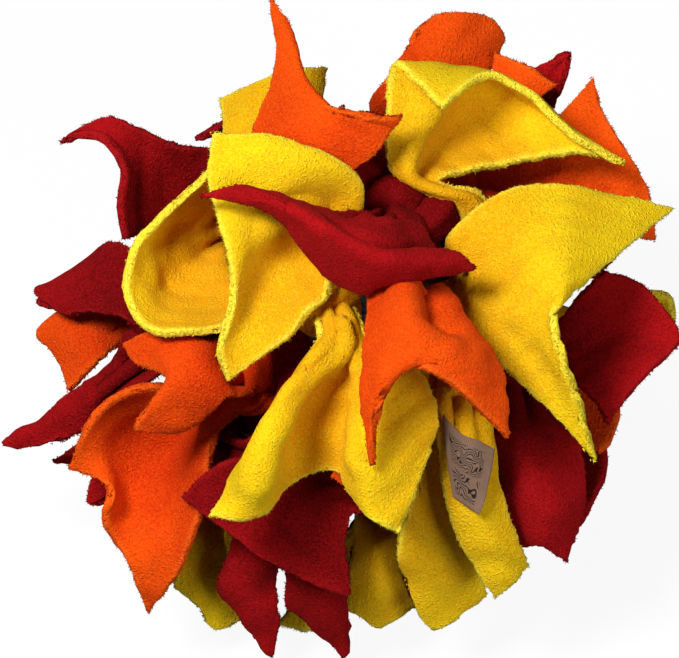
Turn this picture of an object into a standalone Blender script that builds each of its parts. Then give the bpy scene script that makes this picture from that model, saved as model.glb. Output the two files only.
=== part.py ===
"""Snuffle ball: 30 fleece strips, each looped and knotted round one rib of a hollow rubber lattice ball.

Each strip is one node: the loop round its rib, its knot and its tails. Some large tails lift at their knots, so
each of these is a node of its own that turns on a hinge. A ribbon label lies on one yellow tail.
Lengths are metres, +Z is up, and the floor is at zero height.
"""

import math

import bmesh
import bpy
import numpy as np
from mathutils.bvhtree import BVHTree

# Driving sizes of the toy: its tails' reach from the ball's middle, the height of that middle above the floor,
# how far above level the front view looks from, and how far the ball's middle lies off the middle of the toy
REACH = 0.110
REST_HEIGHT = 0.078
VIEW_TILT = math.radians(50)
STAND_SHARES = (0.013, -0.048)
MIDDLE = np.array([STAND_SHARES[0] * REACH, STAND_SHARES[1] * REACH, REST_HEIGHT])

# The rubber lattice ball: its ribs' middles lie at its radius, and one window faces the way of BALL_FRONT
BALL_RADIUS = 0.045
RIB_WIDTH = 0.012
RIB_DEPTH = 0.006
BALL_FRONT = (0.33, 0.57, 0.75)

# The fleece, its loops, knots and necks
FLEECE = 0.0030
LOOP_WIDTH = 0.010
KNOT_RADIUS = 0.0110
NECK_WIDTH = 0.020
NECK_DEPTH = 0.0085
TAIL_WIDTH = 0.078

# The ribbon label: its depth, the tail that it lies on, and the rows and columns of that tail's cells
LABEL_DEPTH = 0.0008
LABEL_TAIL = "yellow_e_label"
LABEL_ROWS = (1, 4)
LABEL_COLUMNS = (1, 4)

# Room between pieces
SEAT_GAP = 0.0003
FLAP_ROOM = 0.0008
REST_CUT = 0.0005

# How a loop sits on its rib and its knot on the loop, and how far along the rib it may slide
LOOP_TIGHT_SHARE = 0.695
LOOP_DROP_SHARE = 0.5
KNOT_SEAT_SHARE = 0.8
SLIDE_SHARE = 0.2
LOOP_INSIDE = LOOP_TIGHT_SHARE * math.hypot(RIB_WIDTH / 2, RIB_DEPTH / 2) + SEAT_GAP
LOOP_OUTSIDE = LOOP_INSIDE + FLEECE

# How a tail leaves its knot, as shares of the knot's radius, of the neck's width and of the tail's length
ROOT_SHARE = 0.45
NECK_OUT_SHARE = 1.5
ROOT_WIDTH_SHARE = 0.8
NECK_END_SHARE = 0.42

# The hinge of a lifting tail: its rounded root turns just clear of a flat stub on the knot
HINGE_REACH = KNOT_RADIUS + SEAT_GAP + NECK_DEPTH / 2
STUB_SHARE = 0.5
ROOT_TURNS = (80, 45)

# Smoothness of the solids: cells across and along a tail, round a knot and round a loop
FINE_CELLS = (5, 5)
PLAIN_CELLS = (4, 4)
BACK_CELLS = (3, 4)
KNOT_CELLS = (6, 4)
LOOP_CELLS = 6

# How the tails are moved apart: rounds of moves, the rounds in which crossed tails are drawn apart and from how
# far, the round after which none changes side, the longest move, and how much of each move is made
ROUNDS = 50
UNCROSS_ROUNDS = 15
UNCROSS_REACH = 0.018
FLIP_ROUNDS = 35
PUSH_LIMIT_SHARE = 0.04
STEP_SHARE = 0.6
STIFF_SHARE = 0.5
STIFF_UNTIL_SHARE = 0.7
INNER_SHARE = 0.8
SURE_SHARE = 0.3
PINNED_ROWS = 2

RED = (0.36, 0.006, 0.010)
ORANGE = (0.90, 0.085, 0.008)
YELLOW = (0.95, 0.62, 0.010)

# Each strip's knot and two tails, placed by hand as shares of REACH in the view from the front and 50 degrees
# above: x to the right, y up, z towards the viewer, from the ball's middle. A tail's rows run from its neck
# to its cut end, and each row runs across it.
STRIP_SHARES = {
    "yellow_a": (YELLOW, (-.06, .11, .52), {
        "left": (FINE_CELLS, [
            [(.05, .375, .58), (-.04, .25, .62), (-.05, .08, .64)],
            [(-.13, .52, .70), (-.17, .36, .76), (-.20, .20, .66), (-.17, -.04, .70)],
            [(-.375, .56, .70), (-.39, .42, .75), (-.335, .22, .79), (-.32, .08, .79), (-.36, -.06, .76),
             (-.34, -.147, .71)]]),
        "middle": (FINE_CELLS, [
            [(-.06, .0, .68), (.0, -.02, .68), (.06, -.02, .67)],
            [(-.15, -.15, .70), (-.11, -.10, .77), (-.04, -.09, .70), (.02, -.13, .66), (.08, -.18, .70),
             (.245, -.15, .65)],
            [(-.30, -.40, .70), (-.23, -.30, .82), (-.12, -.26, .68), (-.02, -.30, .64), (.06, -.40, .74),
             (.235, -.35, .64)],
            [(-.385, -.53, .72), (-.25, -.535, .72), (-.12, -.45, .60), (-.02, -.41, .60), (.07, -.53, .70),
             (.155, -.58, .68)]])}),
    "orange_b": (ORANGE, (.04, -.20, .50), {
        "front": (FINE_CELLS, [
            [(.12, .04, .60), (.18, .0, .60), (.22, -.05, .58)],
            [(.08, .12, .69), (.17, .15, .72), (.28, .11, .63)],
            [(.06, -.04, .82), (.15, .01, .90), (.26, .0, .88), (.375, -.02, .76)],
            [(.05, -.22, .84), (.10, -.15, .91), (.20, -.08, .95), (.33, -.08, .90), (.455, -.15, .78)],
            [(.075, -.385, .80), (.092, -.23, .88), (.15, -.117, .92), (.22, -.107, .94), (.33, -.18, .90),
             (.46, -.305, .80)]]),
        "under": (BACK_CELLS, [
            [(-.02, -.32, .60), (.04, -.34, .60), (.10, -.32, .58)],
            [(-.04, -.42, .58), (.04, -.46, .60), (.12, -.44, .56)]])}),
    "orange_c": (ORANGE, (-.28, -.13, .44), {
        "curl": (FINE_CELLS, [
            [(-.40, -.03, .60), (-.38, -.10, .62), (-.34, -.19, .60)],
            [(-.52, .0, .56), (-.46, -.12, .66), (-.40, -.25, .58)],
            [(-.635, -.04, .50), (-.60, -.095, .54), (-.50, -.14, .64), (-.57, -.23, .62), (-.60, -.285, .58),
             (-.48, -.295, .56)]]),
        "low": (FINE_CELLS, [
            [(-.46, -.16, .46), (-.42, -.24, .46), (-.37, -.30, .46)],
            [(-.62, -.16, .44), (-.56, -.26, .32), (-.47, -.36, .34), (-.40, -.44, .42)],
            [(-.74, -.27, .40), (-.67, -.36, .28), (-.56, -.50, .30), (-.46, -.66, .34)],
            [(-.80, -.40, .26), (-.72, -.43, .32), (-.665, -.48, .38), (-.65, -.58, .36), (-.62, -.70, .28),
             (-.575, -.825, .16)]])}),
    "red_d": (RED, (.18, .31, .41), {
        "front": (FINE_CELLS, [
            [(.02, .33, .64), (.10, .27, .66), (.22, .25, .60)],
            [(-.12, .35, .76), (.0, .29, .82), (.10, .27, .80), (.27, .235, .70)],
            [(-.28, .405, .84), (-.14, .34, .91), (.0, .26, .94), (.14, .205, .90), (.33, .20, .76)],
            [(-.41, .38, .86), (-.20, .335, .83), (-.08, .18, .80), (.04, .105, .79), (.20, .13, .78),
             (.37, .17, .74)]]),
        "rear": (PLAIN_CELLS, [
            [(.03, .47, .42), (.09, .46, .42), (.14, .45, .40)],
            [(-.03, .60, .30), (.06, .63, .30), (.13, .61, .26)]])}),
    "yellow_e": (YELLOW, (.34, -.20, .36), {
        "label": (PLAIN_CELLS, [
            [(.26, -.20, .52), (.34, -.22, .54), (.42, -.22, .50)],
            [(.27, -.36, .52), (.35, -.38, .54), (.43, -.38, .48)],
            [(.31, -.56, .44), (.40, -.57, .46), (.48, -.56, .40)],
            [(.435, -.775, .30), (.48, -.735, .32), (.525, -.68, .30)]]),
        "low": (PLAIN_CELLS, [
            [(.21, -.26, .44), (.25, -.32, .42), (.30, -.34, .40)],
            [(.15, -.60, .34), (.24, -.64, .30), (.37, -.62, .24)],
            [(.175, -.70, .26), (.195, -.77, .20), (.25, -.875, .12), (.335, -.83, .12), (.41, -.77, .12)]])}),
    "orange_f": (ORANGE, (-.14, .39, .35), {
        "spike": (FINE_CELLS, [
            [(-.24, .50, .52), (-.13, .48, .56), (.0, .455, .56)],
            [(-.26, .60, .50), (-.10, .57, .62), (.08, .50, .60)],
            [(-.195, .73, .48), (-.11, .65, .60), (.0, .60, .64), (.12, .555, .62)],
            [(-.22, .965, .38), (-.165, .88, .44), (-.125, .72, .54), (-.04, .625, .64), (.06, .61, .67),
             (.163, .612, .62)]]),
        "under": (BACK_CELLS, [
            [(-.25, .38, .48), (-.27, .30, .50), (-.26, .22, .48)],
            [(-.30, .42, .54), (-.30, .30, .60), (-.28, .2, .58)]])}),
    "yellow_g": (YELLOW, (.41, .14, .31), {
        "right": (FINE_CELLS, [
            [(.31, .25, .50), (.34, .13, .52), (.37, .01, .50)],
            [(.48, .41, .52), (.50, .15, .60), (.47, -.12, .56)],
            [(.72, .40, .42), (.60, .12, .66), (.60, -.24, .58)],
            [(.95, .35, .30), (.79, .22, .48), (.655, .11, .62), (.59, .03, .72), (.645, -.12, .68),
             (.72, -.375, .52)]]),
        "top": (FINE_CELLS, [
            [(.335, .34, .42), (.365, .365, .38), (.395, .39, .34)],
            [(.14, .45, .47), (.20, .44, .46), (.27, .43, .41)],
            [(.12, .58, .48), (.24, .58, .42), (.40, .475, .34)],
            [(.13, .70, .48), (.25, .68, .42), (.35, .63, .26), (.47, .57, .20), (.57, .488, .32)],
            [(.16, .77, .40), (.30, .78, .32), (.45, .75, .26), (.60, .655, .26), (.72, .52, .30)],
            [(.28, .635, .52), (.34, .69, .48), (.42, .735, .42), (.55, .67, .38), (.66, .56, .36),
             (.81, .485, .30)]])}),
    "red_h": (RED, (.12, -.44, .28), {
        "left": (FINE_CELLS, [
            [(-.04, -.36, .46), (-.03, -.44, .46), (.02, -.52, .42)],
            [(-.20, -.34, .52), (-.16, -.50, .52), (.0, -.62, .42)],
            [(-.36, -.38, .48), (-.22, -.57, .50), (.01, -.70, .38)],
            [(-.47, -.48, .40), (-.37, -.57, .46), (-.27, -.645, .47), (-.17, -.70, .45), (-.07, -.745, .40),
             (.01, -.77, .34)]]),
        "under": (BACK_CELLS, [
            [(.22, -.52, .22), (.26, -.48, .22), (.28, -.42, .2)],
            [(.34, -.60, .16), (.38, -.52, .2), (.40, -.44, .2)]])}),
    "red_i": (RED, (-.49, .0, .22), {
        "spike": (PLAIN_CELLS, [
            [(-.62, -.04, .22), (-.62, -.09, .24), (-.60, -.14, .22)],
            [(-.76, -.15, .16), (-.74, -.20, .18), (-.71, -.25, .16)],
            [(-.89, -.275, .04), (-.955, -.31, .0), (-1.01, -.335, -.02), (-.93, -.342, .02), (-.81, -.315, .10)]]),
        "left": (PLAIN_CELLS, [
            [(-.59, .20, .26), (-.62, .11, .28), (-.60, .02, .28)],
            [(-.66, .255, .18), (-.70, .15, .22), (-.70, .05, .24)],
            [(-.76, .185, .08), (-.845, .135, .04), (-.91, .11, .02), (-.86, .07, .08), (-.80, .04, .14)]])}),
    "red_j": (RED, (-.39, -.32, .19), {
        "deep": (PLAIN_CELLS, [
            [(-.28, -.32, .42), (-.26, -.38, .40), (-.24, -.44, .36)],
            [(-.20, -.20, .50), (-.12, -.30, .52), (-.06, -.40, .50)],
            [(-.25, .07, .48), (-.17, .04, .54), (-.10, -.05, .57)]]),
        "left": (BACK_CELLS, [
            [(-.52, -.34, .14), (-.52, -.38, .16), (-.51, -.42, .14)],
            [(-.74, -.42, .06), (-.755, -.515, .02), (-.68, -.48, .08)]])}),
    "yellow_k": (YELLOW, (-.41, .32, .16), {
        "cup": (FINE_CELLS, [
            [(-.34, .38, .37), (-.43, .25, .36), (-.31, .15, .43)],
            [(-.33, .44, .48), (-.54, .26, .44), (-.53, .10, .46), (-.30, .07, .54)],
            [(-.37, .475, .56), (-.50, .35, .59), (-.60, .25, .61), (-.635, .13, .62), (-.56, -.005, .65),
             (-.35, .0, .66)]]),
        "rear": (PLAIN_CELLS, [
            [(-.38, .45, .26), (-.32, .46, .28), (-.25, .46, .26)],
            [(-.35, .57, .26), (-.25, .59, .32), (-.10, .60, .24)],
            [(-.365, .67, .18), (-.28, .705, .22), (-.19, .745, .24), (-.12, .762, .20), (-.055, .765, .16)]])}),
    "orange_l": (ORANGE, (.35, .39, .13), {
        "right": (PLAIN_CELLS, [
            [(.48, .50, .12), (.52, .42, .14), (.52, .33, .12)],
            [(.62, .62, .10), (.68, .46, .14), (.68, .30, .12)],
            [(.73, .74, .02), (.755, .64, .08), (.83, .51, .12), (.89, .40, .12), (.91, .265, .06)]]),
        "rear": (PLAIN_CELLS, [
            [(.38, .55, .02), (.44, .55, .04), (.50, .54, .0)],
            [(.42, .68, .06), (.48, .69, .08), (.54, .66, .06)],
            [(.44, .81, .04), (.52, .78, .10), (.62, .72, .08)]])}),
    "red_m": (RED, (-.14, -.51, .09), {
        "right": (PLAIN_CELLS, [
            [(-.16, -.60, .20), (-.09, -.62, .22), (-.01, -.60, .20)],
            [(-.175, -.72, .20), (-.09, -.74, .24), (.0, -.73, .20)],
            [(-.18, -.80, .12), (-.10, -.87, .10), (-.04, -.92, .06), (.0, -.955, .02), (.0, -.86, .10)]]),
        "left": (PLAIN_CELLS, [
            [(-.29, -.58, .20), (-.23, -.60, .22), (-.18, -.60, .20)],
            [(-.355, -.68, .18), (-.27, -.71, .22), (-.185, -.71, .18)],
            [(-.36, -.76, .12), (-.31, -.83, .10), (-.26, -.90, .05), (-.21, -.96, .0), (-.19, -.86, .08)]])}),
    "red_n": (RED, (.52, -.13, .09), {
        "right": (FINE_CELLS, [
            [(.62, .03, .28), (.63, -.06, .26), (.62, -.15, .30)],
            [(.70, .12, .36), (.76, .0, .26), (.70, -.18, .38)],
            [(.75, .17, .36), (.87, .125, .30), (.975, -.015, .26), (.905, -.10, .32), (.82, -.19, .38),
             (.755, -.27, .40)]]),
        "low": (PLAIN_CELLS, [
            [(.46, -.26, .30), (.54, -.27, .30), (.62, -.24, .26)],
            [(.43, -.40, .34), (.55, -.44, .42), (.70, -.40, .34)],
            [(.45, -.52, .32), (.58, -.53, .42), (.69, -.50, .32)],
            [(.495, -.63, .26), (.53, -.625, .30), (.57, -.62, .34), (.61, -.65, .31), (.64, -.67, .28)]])}),
    "red_o": (RED, (-.16, .51, .04), {
        "hook": (FINE_CELLS, [
            [(-.33, .56, .06), (-.35, .50, .10), (-.38, .45, .04)],
            [(-.50, .54, .16), (-.52, .46, .10), (-.52, .34, .08)],
            [(-.66, .625, .16), (-.60, .52, .18), (-.60, .36, .14)],
            [(-.83, .55, .10), (-.765, .572, .15), (-.70, .555, .20), (-.648, .47, .24), (-.657, .37, .26),
             (-.638, .265, .26)]]),
        "rear": (BACK_CELLS, [
            [(-.30, .60, -.02), (-.26, .62, .0), (-.22, .64, -.02)],
            [(-.44, .56, .0), (-.38, .60, .02), (-.30, .66, .0), (-.22, .70, -.04)]])}),
    "yellow_p": (YELLOW, (.16, -.51, -.04), {
        "front": (PLAIN_CELLS, [
            [(.04, -.53, .12), (.10, -.56, .16), (.16, -.57, .12)],
            [(.02, -.67, .14), (.09, -.69, .18), (.16, -.70, .12)],
            [(.005, -.81, .08), (.05, -.84, .08), (.095, -.87, .06), (.15, -.84, .04), (.20, -.805, .0)]]),
        "left": (PLAIN_CELLS, [
            [(-.02, -.64, -.08), (.0, -.62, -.12), (.04, -.60, -.16)],
            [(-.20, -.87, -.10), (-.10, -.89, -.12), (.0, -.86, -.14)]])}),
    "orange_q": (ORANGE, (-.52, .13, -.09), {
        "left": (PLAIN_CELLS, [
            [(-.66, .08, .0), (-.67, .02, .04), (-.66, -.04, .06)],
            [(-.78, .07, .04), (-.76, -.02, .10), (-.72, -.10, .14)],
            [(-.82, .06, .0), (-.905, -.01, -.02), (-.865, -.055, .02), (-.83, -.11, .04), (-.81, -.185, .10)]])}),
    "orange_r": (ORANGE, (.14, .51, -.09), {
        "top": (PLAIN_CELLS, [
            [(.08, .65, .02), (.18, .66, .06), (.28, .64, .0)],
            [(.14, .76, .06), (.26, .78, .12), (.42, .76, .02)],
            [(.21, .87, .10), (.26, .92, .09), (.35, .93, .05), (.42, .918, .0), (.47, .86, -.04)]])}),
    "yellow_s": (YELLOW, (-.35, -.39, -.13), {
        "low": (PLAIN_CELLS, [
            [(-.48, -.56, .0), (-.42, -.56, .02), (-.36, -.56, .0)],
            [(-.50, -.68, .04), (-.42, -.70, .06), (-.34, -.70, .02)],
            [(-.50, -.755, .02), (-.44, -.80, .02), (-.41, -.85, -.02), (-.375, -.88, -.04), (-.31, -.85, -.06)]]),
        "left": (BACK_CELLS, [
            [(-.50, -.44, -.12), (-.52, -.40, -.14), (-.52, -.36, -.16)],
            [(-.66, -.58, -.06), (-.68, -.52, -.06), (-.68, -.44, -.08)]])}),
    "orange_t": (ORANGE, (.41, -.32, -.16), {
        "right": (PLAIN_CELLS, [
            [(.56, -.30, .02), (.56, -.24, .0), (.57, -.18, -.02)],
            [(.745, -.36, .14), (.775, -.33, .14), (.80, -.25, .12), (.79, -.18, .08), (.78, -.12, .06)]])}),
    "red_u": (RED, (.39, .32, -.19), {
        "spike": (PLAIN_CELLS, [
            [(.46, .50, -.16), (.50, .48, -.14), (.55, .46, -.16)],
            [(.50, .66, -.12), (.56, .66, -.08), (.60, .62, -.10)],
            [(.56, .765, -.10), (.62, .80, -.06), (.665, .82, -.08), (.65, .76, -.06), (.62, .70, -.04)]])}),
    "yellow_v": (YELLOW, (.49, .0, -.22), {
        "right": (PLAIN_CELLS, [
            [(.66, .06, -.18), (.68, .0, -.16), (.66, -.06, -.18)],
            [(.90, .115, .0), (.955, .10, -.02), (.97, .04, -.02), (.965, -.02, -.01), (.94, -.07, .0)]])}),
    "red_w": (RED, (.14, -.39, -.35), {
        "right": (PLAIN_CELLS, [
            [(.34, -.46, -.34), (.36, -.42, -.36), (.36, -.38, -.38)],
            [(.55, -.52, -.18), (.57, -.46, -.18), (.58, -.40, -.2)],
            [(.69, -.575, -.02), (.73, -.51, -.01), (.76, -.43, .0), (.765, -.37, .0), (.755, -.31, -.02)]])}),
}

# Tails that the view's own tails hide. Each is set by its cut end: the degrees round from +X and above level
# of its middle as seen from the ball's, that middle's distance as a share of REACH, the degrees that the end
# is turned from square to the tail's lean, and its cup and slant as shares of REACH.
BACK_SHARES = {
    "orange_q": (ORANGE, (-.52, .13, -.09), {"back": (158, -16, .68, 10, .06, .05)}),
    "orange_r": (ORANGE, (.14, .51, -.09), {"back": (63, 8, .84, -10, -.06, -.05)}),
    "orange_t": (ORANGE, (.41, -.32, -.16), {"low": (13, -43, .88, 0, .03, .04)}),
    "red_u": (RED, (.39, .32, -.19), {"back": (24, -5, .86, 5, .06, .06)}),
    "yellow_v": (YELLOW, (.49, .0, -.22), {"low": (36, -28, .88, 5, .05, -.05)}),
    "red_w": (RED, (.14, -.39, -.35), {"low": (-76, -58, .92, 0, .02, .04)}),
    "orange_x": (ORANGE, (-.12, .44, -.28), {"high": (114, 14, .62, -28, -.05, .0),
                                             "back": (111, -11, .90, 5, .05, -.05)}),
    "yellow_y": (YELLOW, (-.34, .20, -.36), {"high": (140, 0, .70, -5, .05, .02),
                                             "back": (116, -40, .90, -5, -.05, .05)}),
    "red_z": (RED, (-.04, .2, -.5), {"high": (73, -16, .84, -5, .05, .06),
                                     "back": (103, -40, .88, 5, -.04, -.05)}),
    "orange_aa": (ORANGE, (.28, .13, -.44), {"high": (54, -10, .86, 0, -.05, .05),
                                             "back": (57, -39, .88, 5, .04, .04)}),
    "red_bb": (RED, (-.43, -.11, -.31), {"high": (151, -25, .86, -5, .06, -.05),
                                         "low": (186, -42, .86, 5, .05, .04)}),
    "yellow_cc": (YELLOW, (-.18, -.31, -.41), {"left": (206, -58, .94, 0, .02, .04),
                                               "back": (140, -58, .94, 0, .02, -.04)}),
    "yellow_dd": (YELLOW, (.06, -.11, -.52), {"right": (28, -62, .96, 0, .02, -.04),
                                              "back": (90, -58, .94, 0, .02, .04)}),
}
BACK_SPREAD_SHARES = ((0.40, 0.35), (0.70, 0.65), (1.0, 0.85))

# Tails that lift at their knots
LIFTING = ("red_d_front", "yellow_g_right", "orange_f_spike", "red_i_spike", "orange_r_top", "orange_b_front",
           "orange_q_left", "orange_t_right", "red_u_spike", "yellow_v_right", "yellow_k_cup")


def turn_to_floor(places):
    """Places in the view, as shares of REACH, made lengths in the toy's upright frame above the floor."""
    x, y, z = np.moveaxis(np.asarray(places, dtype=float), -1, 0)
    sine, cosine = math.sin(VIEW_TILT), math.cos(VIEW_TILT)
    upright = np.stack([x, y * sine - z * cosine, y * cosine + z * sine], axis=-1)
    return upright * REACH + MIDDLE


def unit(vector):
    return vector / np.linalg.norm(vector, axis=-1, keepdims=True)


def smooth_through(points, count):
    """A smooth curve through the points (Catmull-Rom, paced by their distances), read at count even places."""
    points = np.asarray(points, dtype=float)
    pace = np.linalg.norm(np.diff(points.reshape(len(points), -1), axis=0), axis=1)
    knots = np.concatenate([[0], np.cumsum(np.maximum(pace, pace.max() / 50))])
    gaps = np.diff(knots).reshape((-1,) + (1,) * (points.ndim - 1))
    steps = np.diff(points, axis=0) / gaps
    slopes = np.empty_like(points)
    slopes[0] = steps[0]
    slopes[-1] = steps[-1]
    slopes[1:-1] = (steps[:-1] * gaps[1:] + steps[1:] * gaps[:-1]) / (gaps[1:] + gaps[:-1])
    at = np.linspace(0, knots[-1], count)
    cell = np.clip(np.searchsorted(knots, at, side="right") - 1, 0, len(points) - 2)
    span = gaps[cell]
    t = (at - knots[cell]).reshape(span.shape) / span
    return (points[cell] * (1 + 2 * t) * (1 - t) ** 2 + slopes[cell] * span * t * (1 - t) ** 2
            + points[cell + 1] * t ** 2 * (3 - 2 * t) + slopes[cell + 1] * span * t ** 2 * (t - 1))


# Places of the ball's ribs, of the knots and of the tails
def ball_corners():
    """The 20 corners of a regular dodecahedron whose edges' middles lie at BALL_RADIUS."""
    golden = (1 + math.sqrt(5)) / 2
    corners = [(x, y, z) for x in (-1, 1) for y in (-1, 1) for z in (-1, 1)]
    for a in (-1 / golden, 1 / golden):
        for b in (-golden, golden):
            corners += [(0, a, b), (a, b, 0), (b, 0, a)]
    front = unit(np.array(BALL_FRONT))
    side = unit(np.cross([0, 1, 0], front))
    turned = np.array(corners) @ np.stack([np.cross(front, side), -side, front])
    return turned * BALL_RADIUS / golden


def ribs_of(corners):
    """Middle, outward way and lengthwise way of each of the 30 ribs, in the view's frame."""
    pairs = [(a, b) for i, a in enumerate(corners) for b in corners[i + 1:]]
    pairs.sort(key=lambda pair: round(np.linalg.norm(pair[1] - pair[0]) / BALL_RADIUS, 3))
    return [((a + b) / 2, unit(a + b), unit(b - a)) for a, b in pairs[:30]]


def seat_of(place, ribs):
    """The rib nearest to a place: its loop's middle, outward way and lengthwise way, in the upright frame."""
    place = np.array(place)
    middle, outward, along = max(ribs, key=lambda rib: rib[1] @ place)
    limit = SLIDE_SHARE * BALL_RADIUS
    slide = np.clip(place @ along * BALL_RADIUS / (place @ outward), -limit, limit)
    middle = middle - outward * RIB_DEPTH * LOOP_DROP_SHARE + along * slide
    origin = turn_to_floor((0, 0, 0))
    return turn_to_floor(middle / REACH), unit(turn_to_floor(outward) - origin), unit(turn_to_floor(along) - origin)


def knot_middle(seat):
    """A knot sits on the outer side of its loop."""
    middle, outward, _ = seat
    return middle + outward * (LOOP_OUTSIDE + KNOT_SEAT_SHARE * KNOT_RADIUS)


def back_rows(knot, round_by, above, reach, turned, cup, slant):
    """Rows of a hidden tail: straight from its knot to its cut end, with its outer face away from the ball."""
    round_by, above, turn = map(math.radians, (round_by, above, turned))
    level = math.cos(above)
    out = np.array([math.cos(round_by) * level, math.sin(round_by) * level, math.sin(above)])
    end = MIDDLE + out * reach * REACH
    lean = end - knot
    along = unit(lean - out * (lean @ out))
    square = np.cross(out, along)
    across = square * math.cos(turn) + along * math.sin(turn)
    outer = unit(np.cross(lean, across))
    outer *= np.sign(outer @ out)
    rows = []
    for share, spread in BACK_SPREAD_SHARES:
        middle = knot + lean * share
        half = across * spread * TAIL_WIDTH / 2
        rise = outer * cup * REACH * share ** 2
        lead = unit(lean) * slant * REACH * share
        rows.append(np.array([middle - half + rise - lead, middle - half / 2, middle - rise / 2,
                              middle + half / 2, middle + half + rise + lead]))
    return rows


def lay_tail(knot, rows, cells, lifts):
    """The middle surface of one tail as a grid of points, with its depth of cloth row by row."""
    across, along = cells
    toward = unit(rows[0].mean(axis=0) - knot)
    side = unit(rows[0][-1] - rows[0][0])
    side = unit(side - toward * (side @ toward))
    line = side * NECK_WIDTH * np.array([[-.5], [0], [.5]])
    if lifts:
        neck = [knot + toward * HINGE_REACH + line * ROOT_WIDTH_SHARE]
    else:
        neck = [knot + toward * KNOT_RADIUS * ROOT_SHARE + line * ROOT_WIDTH_SHARE,
                knot + toward * KNOT_RADIUS * NECK_OUT_SHARE + line]
    rows = [row if len(row) == across + 1 else smooth_through(row, across + 1) for row in neck + list(rows)]
    net = smooth_through(rows, along + 1)
    pace = np.concatenate([[0], np.cumsum(np.linalg.norm(np.diff(net.mean(axis=1), axis=0), axis=1))])
    t = np.clip(pace / pace[-1] / NECK_END_SHARE, 0, 1)
    depth = NECK_DEPTH + (FLEECE - NECK_DEPTH) * t * t * (3 - 2 * t)
    return net, depth


def all_tails():
    """Every tail's drawn grid and depth and the strip that it belongs to, and every strip's seat on its rib."""
    ribs = ribs_of(ball_corners())
    places = {strip: table[1] for shares in (STRIP_SHARES, BACK_SHARES) for strip, table in shares.items()}
    seats = {strip: seat_of(place, ribs) for strip, place in places.items()}
    tails = {}
    owners = {}
    for strip, seat in seats.items():
        knot = knot_middle(seat)
        drawn = {}
        for end, (cells, rows) in STRIP_SHARES.get(strip, (0, 0, {}))[2].items():
            drawn[end] = ([turn_to_floor(row) for row in rows], cells)
        for end, shares in BACK_SHARES.get(strip, (0, 0, {}))[2].items():
            drawn[end] = (back_rows(knot, *shares), BACK_CELLS)
        for end, (rows, cells) in drawn.items():
            tail = strip + "_" + end
            tails[tail] = lay_tail(knot, rows, cells, tail in LIFTING)
            owners[tail] = strip
    return tails, owners, seats


# Moving the tails apart
def faces_of(rows, cols):
    """The triangles of a grid, two to a cell."""
    index = np.arange(rows * cols).reshape(rows, cols)
    a, b, c, d = index[:-1, :-1], index[:-1, 1:], index[1:, 1:], index[1:, :-1]
    return np.concatenate([np.stack([a, b, c], -1).reshape(-1, 3), np.stack([a, c, d], -1).reshape(-1, 3)])


def near_places(nets, faces, search):
    """For each two tails, the points of the first that lie near the second: its place, facing and row there."""
    trees = {n: BVHTree.FromPolygons(net.reshape(-1, 3).tolist(), faces[n].tolist()) for n, net in nets.items()}
    low = {n: net.min(axis=(0, 1)) - search for n, net in nets.items()}
    high = {n: net.max(axis=(0, 1)) + search for n, net in nets.items()}
    hits = {}
    for name, net in nets.items():
        points = net.reshape(-1, 3)
        for other in nets:
            near = np.all((points > low[other]) & (points < high[other]), axis=1)
            near[:net.shape[1] * PINNED_ROWS] = False
            found = []
            for n in np.flatnonzero(near if other != name else []):
                place, facing, face, _ = trees[other].find_nearest(points[n].tolist(), search)
                if place is not None:
                    found.append((n, *place, *facing, faces[other][face][0] // nets[other].shape[1]))
            if found:
                hits[name, other] = np.array(found)
    return hits


def push_from(points, found, side, need, may_flip):
    """Moves of points away from the places nearest to them, through the other tail where they are past it."""
    away = points - found[:, 1:4]
    facing = found[:, 4:7]
    gap = np.linalg.norm(away, axis=1)
    height = np.einsum("ij,ij->i", away, facing)
    inner = np.abs(height) > INNER_SHARE * gap
    wish = facing @ (side / (np.linalg.norm(side) + 1e-9))
    wrong = inner & (np.sign(height) != np.sign(wish)) & (np.abs(wish) > SURE_SHARE) & may_flip
    straight = np.where(inner[:, None], np.sign(height)[:, None] * facing, away / (gap[:, None] + 1e-9))
    push = np.where(wrong[:, None], np.sign(wish)[:, None] * facing * (need + gap)[:, None],
                    straight * np.maximum(need - gap, 0)[:, None])
    size = np.linalg.norm(push, axis=1, keepdims=True)
    return push * np.minimum(1, PUSH_LIMIT_SHARE * REACH / (size + 1e-9))


def side_of(points, found):
    """The way that most points of a tail lie from the tail near them."""
    away = points - found[:, 1:4]
    height = np.einsum("ij,ij->i", away, found[:, 4:7])
    inner = np.abs(height) > INNER_SHARE * np.linalg.norm(away, axis=1)
    return ((np.sign(height) * inner)[:, None] * found[:, 4:7]).sum(axis=0)


def bend_back(net, drawn, thick, rounds, turn):
    """A moved tail eased towards its drawn shape, kept off the knots, the loops, the ball and the floor."""
    bend = net - drawn
    stiff = STIFF_SHARE * max(0, 1 - turn / (STIFF_UNTIL_SHARE * ROUNDS))
    padded = np.pad(bend, ((1, 1), (1, 1), (0, 0)), mode="edge")
    near = (padded[:-2, 1:-1] + padded[2:, 1:-1] + padded[1:-1, :-2] + padded[1:-1, 2:]) / 4
    bend += (near - bend) * stiff
    bend[:PINNED_ROWS] = 0
    net = drawn + bend
    for middle, radius in rounds:
        away = net - middle
        gap = np.linalg.norm(away, axis=-1)
        short = np.maximum(radius + thick[:, None] + FLAP_ROOM - gap, 0)
        short[:PINNED_ROWS] = 0
        net = net + away / (gap[..., None] + 1e-9) * short[..., None]
    net[..., 2] = np.maximum(net[..., 2], thick[:, None] - REST_CUT)
    return net


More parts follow.
